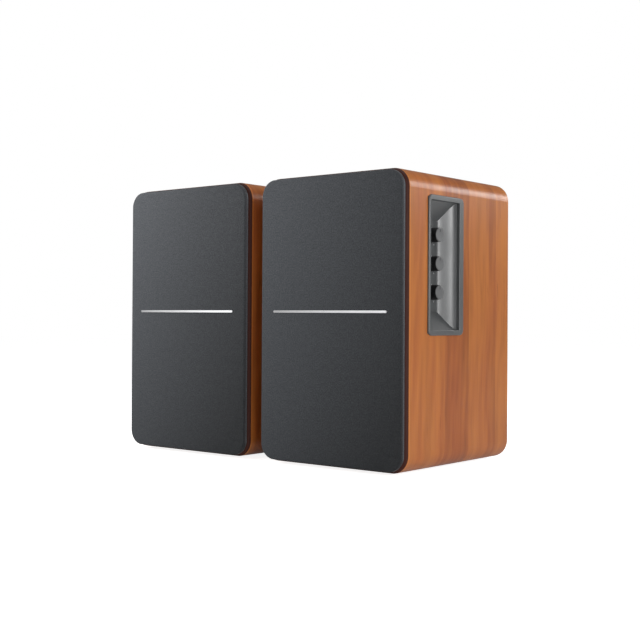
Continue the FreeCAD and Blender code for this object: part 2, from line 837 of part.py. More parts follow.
def grille_cloth():
    """The stretched cloth, wrapped over the front and round the frame's edge."""
    width, height, radius = grille_outline(0)
    skin = slab(width, height, radius, grille_front, grille_back, 0, middle_z)
    skin = skin.makeFillet(grille_edge_radius, face_edges(skin, grille_front))
    width, height, radius = grille_outline(-cloth)
    room = slab(width, height, radius, grille_front + cloth, grille_back + over, 0, middle_z)
    return skin.cut(room)


def accent_strip():
    """The thin bright bar across the grille."""
    z = middle_z + accent_above_middle
    return slot(accent_length, accent_height, grille_front - accent_proud, grille_front, 0, z)


# ================================================================ push terminals
def terminal_throat_block(x, z, face):
    """The room that a terminal housing takes behind its flange."""
    half_w = terminal_width / 2 - throat_inset_x
    half_h = terminal_height / 2 - throat_inset_z
    return box(x - half_w, x + half_w, face - terminal_throat, face, z - half_h, z + half_h)


def lever_places(x):
    return (x - lever_pitch / 2, x + lever_pitch / 2)


def terminal_housing(x, z, face):
    """The moulded terminal: flange, throat and a block with two lever slots and wire holes."""
    flange = slab(terminal_width, terminal_height, terminal_corner, face,
                  face + terminal_flange, x, z)
    half_w = lever_pitch / 2 + lever_width / 2 + terminal_cheek
    block = box(x - half_w, x + half_w, face, face + terminal_depth, z - terminal_block_low,
                z + terminal_block_high)
    body = flange.fuse([block, terminal_throat_block(x, z, face)]).removeSplitter()
    half = lever_width / 2 + lever_clearance
    cuts = []
    for u in lever_places(x):
        cuts.append(box(u - half, u + half, face + slot_floor, face + terminal_depth + over,
                        z - slot_low, z + terminal_height))
        pin_half = half + lever_pin_reach
        cuts.append(rod(lever_pin_radius + lever_pin_clearance,
                        (u - pin_half, face + lever_axis_out, z + lever_axis_up),
                        (u + pin_half, face + lever_axis_out, z + lever_axis_up)))
        cuts.append(rod(wire_hole_radius, (u, face - wire_hole_depth, z - wire_hole_drop),
                        (u, face + terminal_depth + over, z - wire_hole_drop)))
    cuts += [screw_hole(sx, face + terminal_flange, sz, -1)
             for sx, sz in terminal_screw_places(x, z)]
    return body.cut(cuts)


def terminal_lever(u, z, face):
    """A thumb lever with its pivot pin, standing out at the top."""
    depth_height = [(face + out, z + up) for out, up in lever_corners]
    half = lever_width / 2
    lever = extruded_x(depth_height, u - half, u + half)
    reach = half + lever_clearance + lever_pin_reach - lever_pin_end
    pin = rod(lever_pin_radius, (u - reach, face + lever_axis_out, z + lever_axis_up),
              (u + reach, face + lever_axis_out, z + lever_axis_up))
    return lever.fuse(pin).removeSplitter()


# ================================================================ amplifier plate and what it carries
def jack_places():
    return [(jack_x + sx * jack_pitch_x / 2, upper_row + sz * jack_pitch_z / 2)
            for sz in (-1, 1) for sx in (-1, 1)]


def switch_block():
    """The switch body that passes through the plate."""
    return box(switch_x - switch_width / 2 + switch_wall, switch_x + switch_width / 2 - switch_wall,
               plate_face - switch_body_depth, plate_face,
               lower_row - switch_height / 2 + switch_wall,
               lower_row + switch_height / 2 - switch_wall)


def amplifier_plate():
    """The aluminium plate with its row of cooling fins and every cut-out."""
    plate = slab(plate_width, plate_height, plate_corner, rear_face, plate_face, 0, middle_z)
    first = -(fin_count - 1) * fin_pitch / 2
    fins = []
    for i in range(fin_count):
        x = first + i * fin_pitch
        fins.append(box(x - fin_thickness / 2, x + fin_thickness / 2, rear_face,
                        plate_face + fin_depth, fin_z - fin_height / 2, fin_z + fin_height / 2))
    plate = plate.fuse(fins).removeSplitter()
    cuts = [terminal_throat_block(terminal_x, upper_row, plate_face), switch_block(),
            rod(gland_sleeve_radius, (gland_x, rear_face - over, lower_row),
                (gland_x, plate_face + over, lower_row))]
    cuts += [rod(jack_shank_radius, (x, rear_face - over, z), (x, plate_face + over, z))
             for x, z in jack_places()]
    cuts += [screw_hole(x, plate_face, z, -1) for x, z in plate_screw_places()]
    cuts += [screw_hole(x, plate_face + terminal_flange, z, -1)
             for x, z in terminal_screw_places(terminal_x, upper_row)]
    return plate.cut(cuts)


def input_jacks():
    """Four phono sockets, each a flange, a barrel and a shank through the plate."""
    jacks = []
    for x, z in jack_places():
        flange = rod(jack_flange_radius, (x, plate_face, z), (x, plate_face + jack_flange, z))
        barrel = rod(jack_radius, (x, plate_face, z), (x, plate_face + jack_length, z))
        shank = rod(jack_shank_radius, (x, rear_face - jack_tail, z), (x, plate_face, z))
        bore = rod(jack_bore, (x, plate_face + jack_bore_floor, z),
                   (x, plate_face + jack_length + over, z))
        jacks.append(flange.fuse([barrel, shank]).removeSplitter().cut(bore))
    return grouped(jacks)


def cord_gland():
    """The bush where a mains lead enters."""
    y = plate_face
    points = [
        (gland_bore, rear_face - gland_sleeve), (gland_bore, y + gland_flange),
        (gland_radius - gland_bevel, y + gland_flange),
        (gland_radius, y + gland_flange - gland_bevel),
        (gland_radius, y), (gland_sleeve_radius, y), (gland_sleeve_radius, rear_face - gland_sleeve),
    ]
    return turned(points, gland_x, lower_row)


def switch_frame():
    """The rocker switch's bezel and body, with a pocket for the rocker."""
    flange = slab(switch_width + 2 * switch_lip, switch_height + 2 * switch_lip, switch_corner,
                  plate_face, plate_face + switch_flange, switch_x, lower_row)
    body = flange.fuse(switch_block()).removeSplitter()
    half_u, half_v = rocker_room()
    pocket = box(switch_x - half_u, switch_x + half_u, plate_face - switch_pocket_depth,
                 plate_face + switch_flange + over, lower_row - half_v, lower_row + half_v)
    pin_half = half_u + rocker_pin_room
    pin = rod(rocker_pin_radius + lever_pin_clearance,
              (switch_x - pin_half, rocker_axis(), lower_row),
              (switch_x + pin_half, rocker_axis(), lower_row))
    return body.cut([pocket, pin])


def rocker_room():
    """Half the width and height of the hollow that the rocker sits in."""
    return switch_width / 2 - 2 * switch_wall, switch_height / 2 - switch_pocket_wall


def rocker_axis():
    """Depth of the rocker's pivot."""
    return plate_face - rocker_axis_depth


def power_rocker():
    """The rocker, tipped to its off side, with its two trunnions."""
    half_u, half_v = [half - rocker_clearance for half in rocker_room()]
    tilt = rocker_throw / 2
    end = half_v - rocker_tip
    belly = half_v - rocker_belly_inset
    low = rocker_axis()
    crest = low + rocker_crest
    rise = end * math.tan(math.radians(tilt))
    depth_height = [
        (crest, lower_row), (crest + rise, lower_row + end),
        (low - rocker_side, lower_row + end), (low - rocker_belly, lower_row + belly),
        (low - rocker_belly, lower_row - belly), (low - rocker_side, lower_row - end),
        (crest + rise, lower_row - end),
    ]
    rocker = extruded_x(depth_height, switch_x - half_u, switch_x + half_u)
    reach = half_u + rocker_clearance + rocker_pin_reach
    pin = rod(rocker_pin_radius, (switch_x - reach, low, lower_row),
              (switch_x + reach, low, lower_row))
    rocker = rocker.fuse(pin).removeSplitter()
    rocker.rotate(Vector(switch_x, low, lower_row), Vector(1, 0, 0), -tilt)
    return rocker


# ================================================================ control panel
def pocket_rear():
    """Depth of the pocket's rear wall."""
    return panel_front + panel_width - panel_rear_rim


def pocket_shelf():
    """Height at which the pocket's ramp and end walls meet the straight walls of its mouth."""
    return side_face + panel_proud - panel_rim_depth


def pocket_block(profile, floor, top, half, y1):
    """A profile swept along the panel, with both ends cut to the leaning end walls."""
    shelf = top[0]
    sweep = extruded_z(profile, panel_z - half, panel_z + half)
    ends = [
        (top[1], panel_z - half), (shelf, panel_z - half), (floor, panel_z - half + end_slope),
        (floor, panel_z + half - end_slope), (shelf, panel_z + half), (top[1], panel_z + half),
    ]
    wedge = Part.Face(outline(ends))
    wedge.rotate(Vector(0, 0, 0), Vector(1, 0, 0), 90)   # XY to XZ
    wedge.translate(Vector(0, y1 + over, 0))
    return sweep.common(wedge.extrude(Vector(0, panel_front - y1 - 2 * over, 0)))


def pocket_hollow():
    """The scooped hollow: a flat floor, an S-curved ramp up to the rear rim and leaning ends."""
    top = side_face + panel_proud + over
    shelf = pocket_shelf()
    y0, y1 = panel_front + panel_front_rim, pocket_rear()
    ramp = y0 + pocket_draft + floor_width
    profile = [
        (top, y0), (shelf, y0), (pocket_floor, y0 + pocket_draft), (pocket_floor, ramp),
        (pocket_floor, ramp + ramp_foot, shelf - ramp_head_drop, y1 - ramp_head, shelf, y1),
        (top, y1),
    ]
    half = panel_length / 2 - panel_rim
    return pocket_block(profile, pocket_floor, (shelf, top), half, y1)


def pocket_shell():
    """The outside of the tub that the hollow is sunk in."""
    grow = panel_skin
    floor, shelf = pocket_floor - grow, pocket_shelf() - grow
    y0, y1 = panel_front + panel_front_rim - grow, pocket_rear() + grow
    ramp = y0 + pocket_draft + floor_width + 2 * grow
    profile = [(side_face, y0), (floor, y0), (floor, ramp), (shelf, y1), (side_face, y1)]
    half = panel_length / 2 - panel_rim + grow
    return pocket_block(profile, floor, (shelf, side_face), half, y1)


def knob_places():
    return [panel_z + knob_rise + i * knob_pitch for i in (1, 0, -1)]


def panel_face_edges(shape):
    """The edges that lie in the panel's outer face."""
    face = side_face + panel_proud
    return [e for e in shape.Edges if all(abs(p.x - face) < 1e-6 for p in e.discretize(4))]


def control_panel():
    """The moulded tub: a proud frame round a scooped pocket, bored for three bushes."""
    frame = Part.makeBox(panel_proud, panel_width, panel_length,
                         Vector(side_face, panel_front, panel_z - panel_length / 2))
    upright = [e for e in frame.Edges if abs(e.tangentAt(e.FirstParameter).x) > 0.99]
    frame = frame.makeFillet(panel_corner, upright)
    frame = frame.makeFillet(panel_edge_radius, panel_face_edges(frame))
    body = frame.fuse(pocket_shell()).cut(pocket_hollow())
    inside = (panel_length - panel_rim) / 2
    mouth = [e for e in panel_face_edges(body) if abs(e.CenterOfMass.z - panel_z) < inside
             and panel_front + panel_front_rim / 2 < e.CenterOfMass.y < pocket_rear() + panel_rear_rim / 2]
    body = body.makeFillet(mouth_radius, mouth)
    holes = [rod(bush_radius, (pocket_floor - panel_skin - over, knob_y, z),
                 (pocket_floor + over, knob_y, z)) for z in knob_places()]
    return body.cut(holes)


def knob(z):
    """A tapered knob with a chamfered cap and a pointer slot."""
    base = pocket_floor + knob_lift
    cone = Part.makeCone(knob_radius, knob_top_radius, knob_length, Vector(base, knob_y, z),
                         Vector(1, 0, 0))
    rim = [e for e in cone.Edges if e.Curve.TypeId == "Part::GeomCircle"
           and abs(e.CenterOfMass.x - knob_end) < 1e-6]
    cone = cone.makeFillet(knob_chamfer, rim)
    bore = rod(shaft_radius, (base - over, knob_y, z), (base + shaft_in_knob, knob_y, z))
    pointer = box(knob_end - pointer_depth, knob_end + over, knob_y - pointer_width / 2,
                  knob_y + pointer_width / 2, z + knob_top_radius * pointer_start,
                  z + knob_top_radius + over)
    return cone.cut([bore, pointer])


def pot_back():
    """Depth inside the cabinet of the potentiometers' rear face."""
    return pocket_floor - panel_skin - pot_depth


def shaft(z):
    """A potentiometer's round shaft, from inside its body to inside its knob."""
    return rod(shaft_radius, (pot_back() + pot_back_wall + shaft_foot, knob_y, z),
               (pocket_floor + knob_lift + shaft_in_knob, knob_y, z))


def potentiometers():
    """Three square bodies with their bushes through the tub's floor."""
    pots = []
    back = pot_back()
    for z in knob_places():
        body = box(back, pocket_floor - panel_skin, knob_y - pot_size / 2, knob_y + pot_size / 2,
                   z - pot_size / 2, z + pot_size / 2)
        bush = rod(bush_radius, (back + bush_start, knob_y, z), (pocket_floor, knob_y, z))
        bore = rod(shaft_radius + shaft_clearance, (back + pot_back_wall, knob_y, z),
                   (pocket_floor + over, knob_y, z))
        pots.append(body.fuse(bush).removeSplitter().cut(bore))
    return grouped(pots)


def control_board():
    """The circuit board that carries the three potentiometers."""
    half = knob_pitch + pot_size / 2 + control_board_end
    half_w = pot_size / 2 + control_board_side
    back = pot_back()
    return box(back - board_thickness, back, knob_y - half_w, knob_y + half_w,
               panel_z + knob_rise - half, panel_z + knob_rise + half)


# ================================================================ inner electrics
def transformer():
    """The mains transformer on its foot plate, standing on the cabinet floor."""
    y0 = motor_face + top_plate + magnet_height + yoke_plate + transformer_behind_woofer
    y1 = y0 + transformer_depth
    z0 = wall
    half = transformer_width / 2
    base = z0 + transformer_foot
    top = z0 + transformer_height
    coil_half = half - winding_inset
    foot_half = half + transformer_ear
    core = box(-half, half, y0 + core_inset, y1 - core_inset, base, top)
    winding = box(-coil_half, coil_half, y0, y1, base + winding_end, top - winding_end)
    foot = box(-foot_half, foot_half, y0 + transformer_foot_inset, y1 - transformer_foot_inset,
               z0, base)
    return core.fuse([winding, foot]).removeSplitter()


def board_posts(half_w, half_h, y0, y1, z):
    """The four posts that hold a circuit board off the wall behind it."""
    dx, dz = half_w - standoff_inset, half_h - standoff_inset
    return [rod(standoff_radius, (sx * dx, y0, z + sz * dz), (sx * dx, y1, z + sz * dz))
            for sx in (-1, 1) for sz in (-1, 1)]


def amplifier_board():
    """The amplifier board on four posts behind the finned plate."""
    y1 = rear_face - standoff_height
    y0 = y1 - board_thickness
    half_w, half_h = amp_board_width / 2, amp_board_height / 2
    board = box(-half_w, half_w, y0, y1, fin_z - half_h, fin_z + half_h)
    posts = board_posts(half_w, half_h, y1, rear_face, fin_z)
    cap_z = fin_z + capacitor_up
    caps = [rod(capacitor_radius, (x, y0, cap_z), (x, y0 - capacitor_height, cap_z))
            for x in capacitor_places]
    chip = box(chip_left, chip_left + chip_width, y0 - chip_thickness, y0, fin_z - chip_low,
               fin_z - chip_low + chip_height)
    return board.fuse(posts + caps + [chip]).removeSplitter()


def crossover_board():
    """The passive speaker's small filter board, on posts behind its rear board."""
    wall_face = rear_face - rear_board
    y1 = wall_face - standoff_height
    y0 = y1 - board_thickness
    z = middle_z - crossover_drop
    half_w, half_h = crossover_width / 2, crossover_height / 2
    board = box(-half_w, half_w, y0, y1, z - half_h, z + half_h)
    posts = board_posts(half_w, half_h, y1, wall_face, z)
    y_cap = y0 - capacitor_radius + film_capacitor_sink
    z_cap = z - film_capacitor_drop
    capacitor = rod(capacitor_radius, (film_capacitor_ends[0], y_cap, z_cap),
                    (film_capacitor_ends[1], y_cap, z_cap))
    coil = rod(choke_radius, (coil_x, y0, z + coil_up), (coil_x, y0 - choke_height, z + coil_up))
    return board.fuse(posts + [capacitor, coil]).removeSplitter()


# ================================================================ screws
def screws_both_share():
    """The woofer's and tweeter's screws."""
    made = [screw(x, woofer_sink, z) for x, z in woofer_screw_places()]
    made += [screw(x, tweeter_sink, z) for x, z in tweeter_screw_places()]
    return made


def screws_passive():
    face = rear_face + terminal_flange
    return [screw(x, face, z, -1) for x, z in terminal_screw_places(0, left_terminal_z)]


def screws_active():
    made = [screw(x, plate_face, z, -1) for x, z in plate_screw_places()]
    made += [screw(x, plate_face + terminal_flange, z, -1)
             for x, z in terminal_screw_places(terminal_x, upper_row)]
    return made


# ================================================================ the pair
def shared_nodes():
    """The pieces that both speakers have, by the name that follows left_ or right_."""
    return {
        "front_baffle": front_baffle(),
        "grille_frame": grille_frame(),
        "grille_cloth": grille_cloth(),
        "accent_strip": accent_strip(),
        "woofer_basket": woofer_basket(),
        "woofer_motor": woofer_motor(),
        "woofer_surround": woofer_surround(),
        "woofer_cone": woofer_cone(),
        "woofer_dust_cap": dust_cap(),
        "woofer_spider": spider(),
        "tweeter_faceplate": tweeter_faceplate(),
        "tweeter_motor": tweeter_motor(),
        "tweeter_dome": tweeter_dome(),
        "tweeter_surround": tweeter_surround(),
        "port_tube": port_tube(),
    }


def place(shape, side):
    """Stands a speaker's piece in the row: side -1 is the left speaker and 1 the right."""
    return moved(shape, side * pair_pitch / 2 - panel_proud / 2, row_shift_y, foot_height)


def build():
    """Every node of the pair, by name."""
    nodes = {}
    for name, shape in shared_nodes().items():
        nodes["left_" + name] = place(shape, -1)
        nodes["right_" + name] = place(shape, 1)

    left_levers = lever_places(0)
    left = {
        "left_cabinet": cabinet(),
        "left_rear_panel": rear_panel_passive(),
        "left_terminal_housing": terminal_housing(0, left_terminal_z, rear_face),
        "left_terminal_lever_red": terminal_lever(left_levers[1], left_terminal_z, rear_face),
        "left_terminal_lever_black": terminal_lever(left_levers[0], left_terminal_z, rear_face),
        "left_crossover_board": crossover_board(),
    }
    right_levers = lever_places(terminal_x)
    high, centre, low = knob_places()
    right = {
        "right_cabinet": cabinet_with_window(),
        "right_rear_panel": rear_panel_active(),
        "right_amplifier_plate": amplifier_plate(),
        "right_terminal_housing": terminal_housing(terminal_x, upper_row, plate_face),
        "right_terminal_lever_red": terminal_lever(right_levers[1], upper_row, plate_face),
        "right_terminal_lever_black": terminal_lever(right_levers[0], upper_row, plate_face),
        "right_control_panel": control_panel(),
        "right_treble_knob": knob(high),
        "right_bass_knob": knob(centre),
        "right_volume_knob": knob(low),
        "right_treble_shaft": shaft(high),
        "right_bass_shaft": shaft(centre),
        "right_volume_shaft": shaft(low),
        "right_potentiometers": potentiometers(),
        "right_control_board": control_board(),
        "right_power_switch_frame": switch_frame(),
        "right_power_rocker": power_rocker(),
        "right_input_jacks": input_jacks(),
        "right_cord_gland": cord_gland(),
        "right_transformer": transformer(),
        "right_amplifier_board": amplifier_board(),
    }
    for name, shape in left.items():
        nodes[name] = place(shape, -1)
    for name, shape in right.items():
        nodes[name] = place(shape, 1)

    both = {"rubber_feet": rubber_feet(), "grille_sockets": grille_sockets(),
            "panel_screws": screws_both_share()}
    for name, shapes in both.items():
        nodes[name] = grouped([place(s, side) for side in (-1, 1) for s in shapes])
    extra = [place(s, -1) for s in screws_passive()] + [place(s, 1) for s in screws_active()]
    nodes["panel_screws"] = grouped(nodes["panel_screws"].Solids + extra)
    return nodes


def main():
    """Writes one STEP file per node."""
    os.makedirs("parts", exist_ok=True)
    for name, shape in sorted(build().items()):
        if not shape.isValid() or not shape.Solids:
            raise ValueError(name + " is not a valid solid")
        shape.exportStep(os.path.join("parts", name + ".step"))


if __name__ == "__main__":
    main()
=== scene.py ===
"""Looks of a pair of powered desktop speakers: wood-grain wraps, cloth grilles and a side control panel."""

import json
import logging
import math
from dataclasses import dataclass, field
from enum import Enum
from typing import ClassVar, Optional, Sequence

import bmesh
import bpy
import numpy as np
from mathutils import Matrix, Vector

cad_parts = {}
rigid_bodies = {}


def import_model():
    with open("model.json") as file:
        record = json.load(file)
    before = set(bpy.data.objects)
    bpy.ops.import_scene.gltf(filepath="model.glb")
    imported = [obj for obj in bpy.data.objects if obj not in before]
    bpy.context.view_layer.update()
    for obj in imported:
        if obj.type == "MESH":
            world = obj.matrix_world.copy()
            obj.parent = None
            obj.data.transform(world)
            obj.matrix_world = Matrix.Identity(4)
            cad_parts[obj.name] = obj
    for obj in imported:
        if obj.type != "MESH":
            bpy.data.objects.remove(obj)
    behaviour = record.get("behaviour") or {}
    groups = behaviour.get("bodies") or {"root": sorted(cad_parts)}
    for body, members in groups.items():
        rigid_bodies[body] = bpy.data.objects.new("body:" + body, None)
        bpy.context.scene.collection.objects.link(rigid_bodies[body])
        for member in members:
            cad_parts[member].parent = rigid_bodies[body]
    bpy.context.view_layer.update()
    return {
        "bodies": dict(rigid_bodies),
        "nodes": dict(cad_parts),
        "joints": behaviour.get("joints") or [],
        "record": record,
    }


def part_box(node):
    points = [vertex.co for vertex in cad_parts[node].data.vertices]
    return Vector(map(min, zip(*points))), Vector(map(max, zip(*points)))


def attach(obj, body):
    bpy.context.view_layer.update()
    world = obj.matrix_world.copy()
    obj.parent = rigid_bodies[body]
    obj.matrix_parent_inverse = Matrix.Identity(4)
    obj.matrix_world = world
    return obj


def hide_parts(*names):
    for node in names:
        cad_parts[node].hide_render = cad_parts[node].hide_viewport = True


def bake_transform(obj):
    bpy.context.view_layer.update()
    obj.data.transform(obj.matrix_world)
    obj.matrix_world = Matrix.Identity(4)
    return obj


LOG = logging.getLogger("speakers")
MM = 0.001
FIXED_BODY = "cabinets"
FINISH_PREFIX = "finish_"
SAME_POINT = 1e-7  # metres within which two points are one
SENSOR = 36.0  # the camera's sensor width in millimetres
INK_SUNK = 1.5  # a print's wall over its height, so that its rear lies inside the face it is on
STEPS_PER_FLUTE = 8  # points round each groove of a knob
EDGE_TURN = (0.80, 0.985)  # cosines between the bevelled and the plain normal at an edge and on a flat

Colour = tuple[float, float, float]
Place = tuple[float, float, float]


class Side(Enum):
    """The two speakers of the pair."""

    LEFT = "left"
    RIGHT = "right"

    def node(self, name: str) -> str:
        """The CAD node of that name on this speaker."""
        return f"{self.value}_{name}"


# ---------------------------------------------------------------- shader graphs

def srgb(red: float, green: float, blue: float) -> Colour:
    """Turns a colour on the 0 to 255 display scale into linear light.

    Args:
        red, green, blue: The display values.

    Returns:
        The three linear values.
    """
    display = np.array([red, green, blue]) / 255
    linear = np.where(display <= 0.04045, display / 12.92, ((display + 0.055) / 1.055) ** 2.4)
    return tuple(float(v) for v in linear)


def scaled(colour: Colour, factor: float) -> Colour:
    """A colour times a factor."""
    return tuple(min(1.0, v * factor) for v in colour)


class Graph:
    """A material's node tree, with short ways to add and join its nodes."""

    def __init__(self, name: str) -> None:
        """Starts a material that holds one Principled shader.

        Args:
            name: The finish's name.
        """
        self.material = bpy.data.materials.new(FINISH_PREFIX + name)
        self.material.use_nodes = True
        self.tree = self.material.node_tree
        self.tree.nodes.clear()
        self.shader = self.tree.nodes.new("ShaderNodeBsdfPrincipled")
        output = self.tree.nodes.new("ShaderNodeOutputMaterial")
        self.tree.links.new(self.shader.outputs[0], output.inputs["Surface"])
        self.coords = self.tree.nodes.new("ShaderNodeTexCoord")

    def add(self, kind: str, *links: object, **settings: object) -> bpy.types.Node:
        """Adds a node.

        Args:
            kind: The node's type, without its ShaderNode prefix.
            links: One entry per input, in order: a socket to link, a value, or None to leave it.
            settings: Properties of the node.

        Returns:
            The node.
        """
        node = self.tree.nodes.new("ShaderNode" + kind)
        for key, value in settings.items():
            setattr(node, key, value)
        for place, entry in enumerate(links):
            self.feed(node.inputs[place], entry)
        return node

    def feed(self, socket: bpy.types.NodeSocket, entry: object) -> None:
        """Links an input to a socket, or sets its value.

        Args:
            socket: The input.
            entry: A socket, a value, or None to leave the input as it is.
        """
        if isinstance(entry, bpy.types.NodeSocket):
            self.tree.links.new(entry, socket)
        elif entry is not None:
            socket.default_value = entry

    def math(self, operation: str, a: object, b: object = None,
             clamp: bool = False) -> bpy.types.NodeSocket:
        """One arithmetic step, as a socket."""
        return self.add("Math", a, b, operation=operation, use_clamp=clamp).outputs[0]

    def position(self, scale: Sequence[float], use_uv: bool = False) -> bpy.types.NodeSocket:
        """Surface coordinates times a scale for each axis.

        Args:
            scale: Pattern repeats per metre along X, Y and Z, or along U and V.
            use_uv: Reads the piece's own UV map, in metres, in place of Object coordinates.

        Returns:
            The scaled vector.
        """
        return self.stretched(self.coords.outputs["UV" if use_uv else "Object"], scale)

    def stretched(self, vector: bpy.types.NodeSocket, scale: Sequence[float]) -> bpy.types.NodeSocket:
        """A vector times a scale for each axis.

        Args:
            vector: The vector.
            scale: Its three factors.

        Returns:
            The scaled vector.
        """
        node = self.add("Mapping", vector)
        node.inputs["Scale"].default_value = tuple(scale)
        return node.outputs[0]

    def noise(self, vector: bpy.types.NodeSocket, detail: float = 3.0,
              rough: float = 0.55) -> bpy.types.NodeSocket:
        """A noise value of unit scale at a vector.

        Args:
            vector: Where the noise is read.
            detail: How many finer layers it has.
            rough: How strong the finer layers are.

        Returns:
            The noise value.
        """
        node = self.add("TexNoise", vector)
        node.inputs["Scale"].default_value = 1.0
        node.inputs["Detail"].default_value = detail
        node.inputs["Roughness"].default_value = rough
        return node.outputs[0]

    def spread(self, value: bpy.types.NodeSocket, low: float, high: float,
               start: float = 0.3, end: float = 0.7) -> bpy.types.NodeSocket:
        """Maps a value from start..end to low..high, clamped."""
        return self.add("MapRange", value, start, end, low, high).outputs[0]

    def mix(self, share: object, a: object, b: object, blend: str = "MIX") -> bpy.types.NodeSocket:
        """Mixes two colours.

        Args:
            share: How much of b.
            a: The first colour or socket.
            b: The second colour or socket.
            blend: The way they mix.

        Returns:
            The mixed colour.
        """
        node = self.add("Mix", data_type="RGBA", blend_type=blend)
        for name, entry in (("Factor_Float", share), ("A_Color", a), ("B_Color", b)):
            socket = next(s for s in node.inputs if s.identifier == name)
            self.feed(socket, (*entry, 1.0) if isinstance(entry, tuple) else entry)
        return next(s for s in node.outputs if s.identifier == "Result_Color")

    def edges(self, radius: float) -> bpy.types.NodeSocket:
        """Finds edges by how far a bevelled normal turns away from the plain one.

        Args:
            radius: How far from an edge the bevel reaches, in metres.

        Returns:
            A value from 0 on flats to 1 at edges.
        """
        bevel = self.add("Bevel", samples=4)
        bevel.inputs["Radius"].default_value = radius
        flat = self.add("NewGeometry").outputs["Normal"]
        turned = self.add("VectorMath", bevel.outputs[0], flat, operation="DOT_PRODUCT").outputs["Value"]
        return self.spread(turned, 1.0, 0.0, *EDGE_TURN)

    def bump(self, height: bpy.types.NodeSocket, depth: float, strength: float = 1.0) -> None:
        """Presses a height pattern into the surface.

        Args:
            height: The pattern.
            depth: Its depth in metres.
            strength: Share of it that shows.
        """
        node = self.add("Bump")
        node.inputs["Strength"].default_value = strength
        node.inputs["Distance"].default_value = depth
        self.feed(node.inputs["Height"], height)
        self.feed(self.shader.inputs["Normal"], node.outputs[0])

    def set(self, **sockets: object) -> None:
        """Feeds the shader's inputs, named with underscores for spaces."""
        for name, entry in sockets.items():
            value = (*entry, 1.0) if isinstance(entry, tuple) and len(entry) == 3 else entry
            self.feed(self.shader.inputs[name.replace("_", " ")], value)


@dataclass(frozen=True)
class Look:
    """A finish, whose material is built once and worn by many pieces.

    Attributes:
        name: The material's name.
    """

    name: str

    def material(self) -> bpy.types.Material:
        """Builds the finish's material, or finds the one built before.

        Returns:
            The material.
        """
        made = bpy.data.materials.get(FINISH_PREFIX + self.name)
        if made is None:
            graph = Graph(self.name)
            self.paint(graph)
            made = graph.material
        return made

    def paint(self, graph: Graph) -> None:
        """Fills in the material's nodes."""
        raise NotImplementedError


@dataclass(frozen=True)
class Finish(Look):
    """A plain finish: a colour that varies a little, a fine surface texture and worn edges.

    Attributes:
        colour: Its main colour, in linear light.
        rough: Its roughness on flats.
        metal: 1 for bare metal and 0 for the rest.
        cell: Size of the surface texture's grains, in metres.
        depth: Depth of the texture, in metres.
        stretch: Stretch of the grains along X, Y and Z.
        wear: How much paler the edges are.
        extras: Values set on the shader's own sockets.
        CLOUDS: Repeats per metre of the slow drift in tone.
        DRIFT: Factors on the colour where the drift is lowest and highest.
        SMUDGE: Factors on the roughness there.
        GRAIN_ROUGH: How much the texture adds to the roughness each way.
        EDGE: Reach of the wear from an edge, in metres.
    """

    CLOUDS: ClassVar[float] = 22.0
    DRIFT: ClassVar[tuple[float, float]] = (0.88, 1.10)
    SMUDGE: ClassVar[tuple[float, float]] = (0.88, 1.14)
    GRAIN_ROUGH: ClassVar[float] = 0.03
    EDGE: ClassVar[float] = 0.0005

    colour: Colour
    rough: float = 0.5
    metal: float = 0.0
    cell: float = 0.0006
    depth: float = 0.00003
    stretch: tuple[float, float, float] = (1.0, 1.0, 1.0)
    wear: float = 0.25
    extras: dict[str, float] = field(default_factory=dict)

    def paint(self, graph: Graph) -> None:
        """Mixes the drifting colour with the worn one at edges, and adds the texture.

        Args:
            graph: The material's graph.
        """
        grain = graph.noise(graph.position([1 / (self.cell * s) for s in self.stretch]))
        cloud = graph.noise(graph.position([self.CLOUDS] * 3), detail=2.0)
        tone = graph.mix(graph.spread(cloud, 0.0, 1.0), *(scaled(self.colour, k) for k in self.DRIFT))
        if self.wear:
            worn = graph.math("MULTIPLY", graph.edges(self.EDGE), self.wear, True)
            tone = graph.mix(worn, tone, self.worn_colour())
        graph.set(Base_Color=tone, Metallic=self.metal, **self.extras)
        smudge = graph.spread(cloud, *(min(1.0, self.rough * k) for k in self.SMUDGE))
        fleck = graph.spread(grain, -self.GRAIN_ROUGH, self.GRAIN_ROUGH)
        graph.set(Roughness=graph.math("ADD", smudge, fleck, True))
        graph.bump(grain, self.depth)

    def worn_colour(self) -> Colour:
        """The colour of a worn edge: polished where it is metal, and dusty elsewhere."""
        if self.metal:
            return scaled(self.colour, 1.0 + 1.6 * self.wear)
        return tuple(min(1.0, v * (1 + self.wear) + 0.03 * self.wear) for v in self.colour)


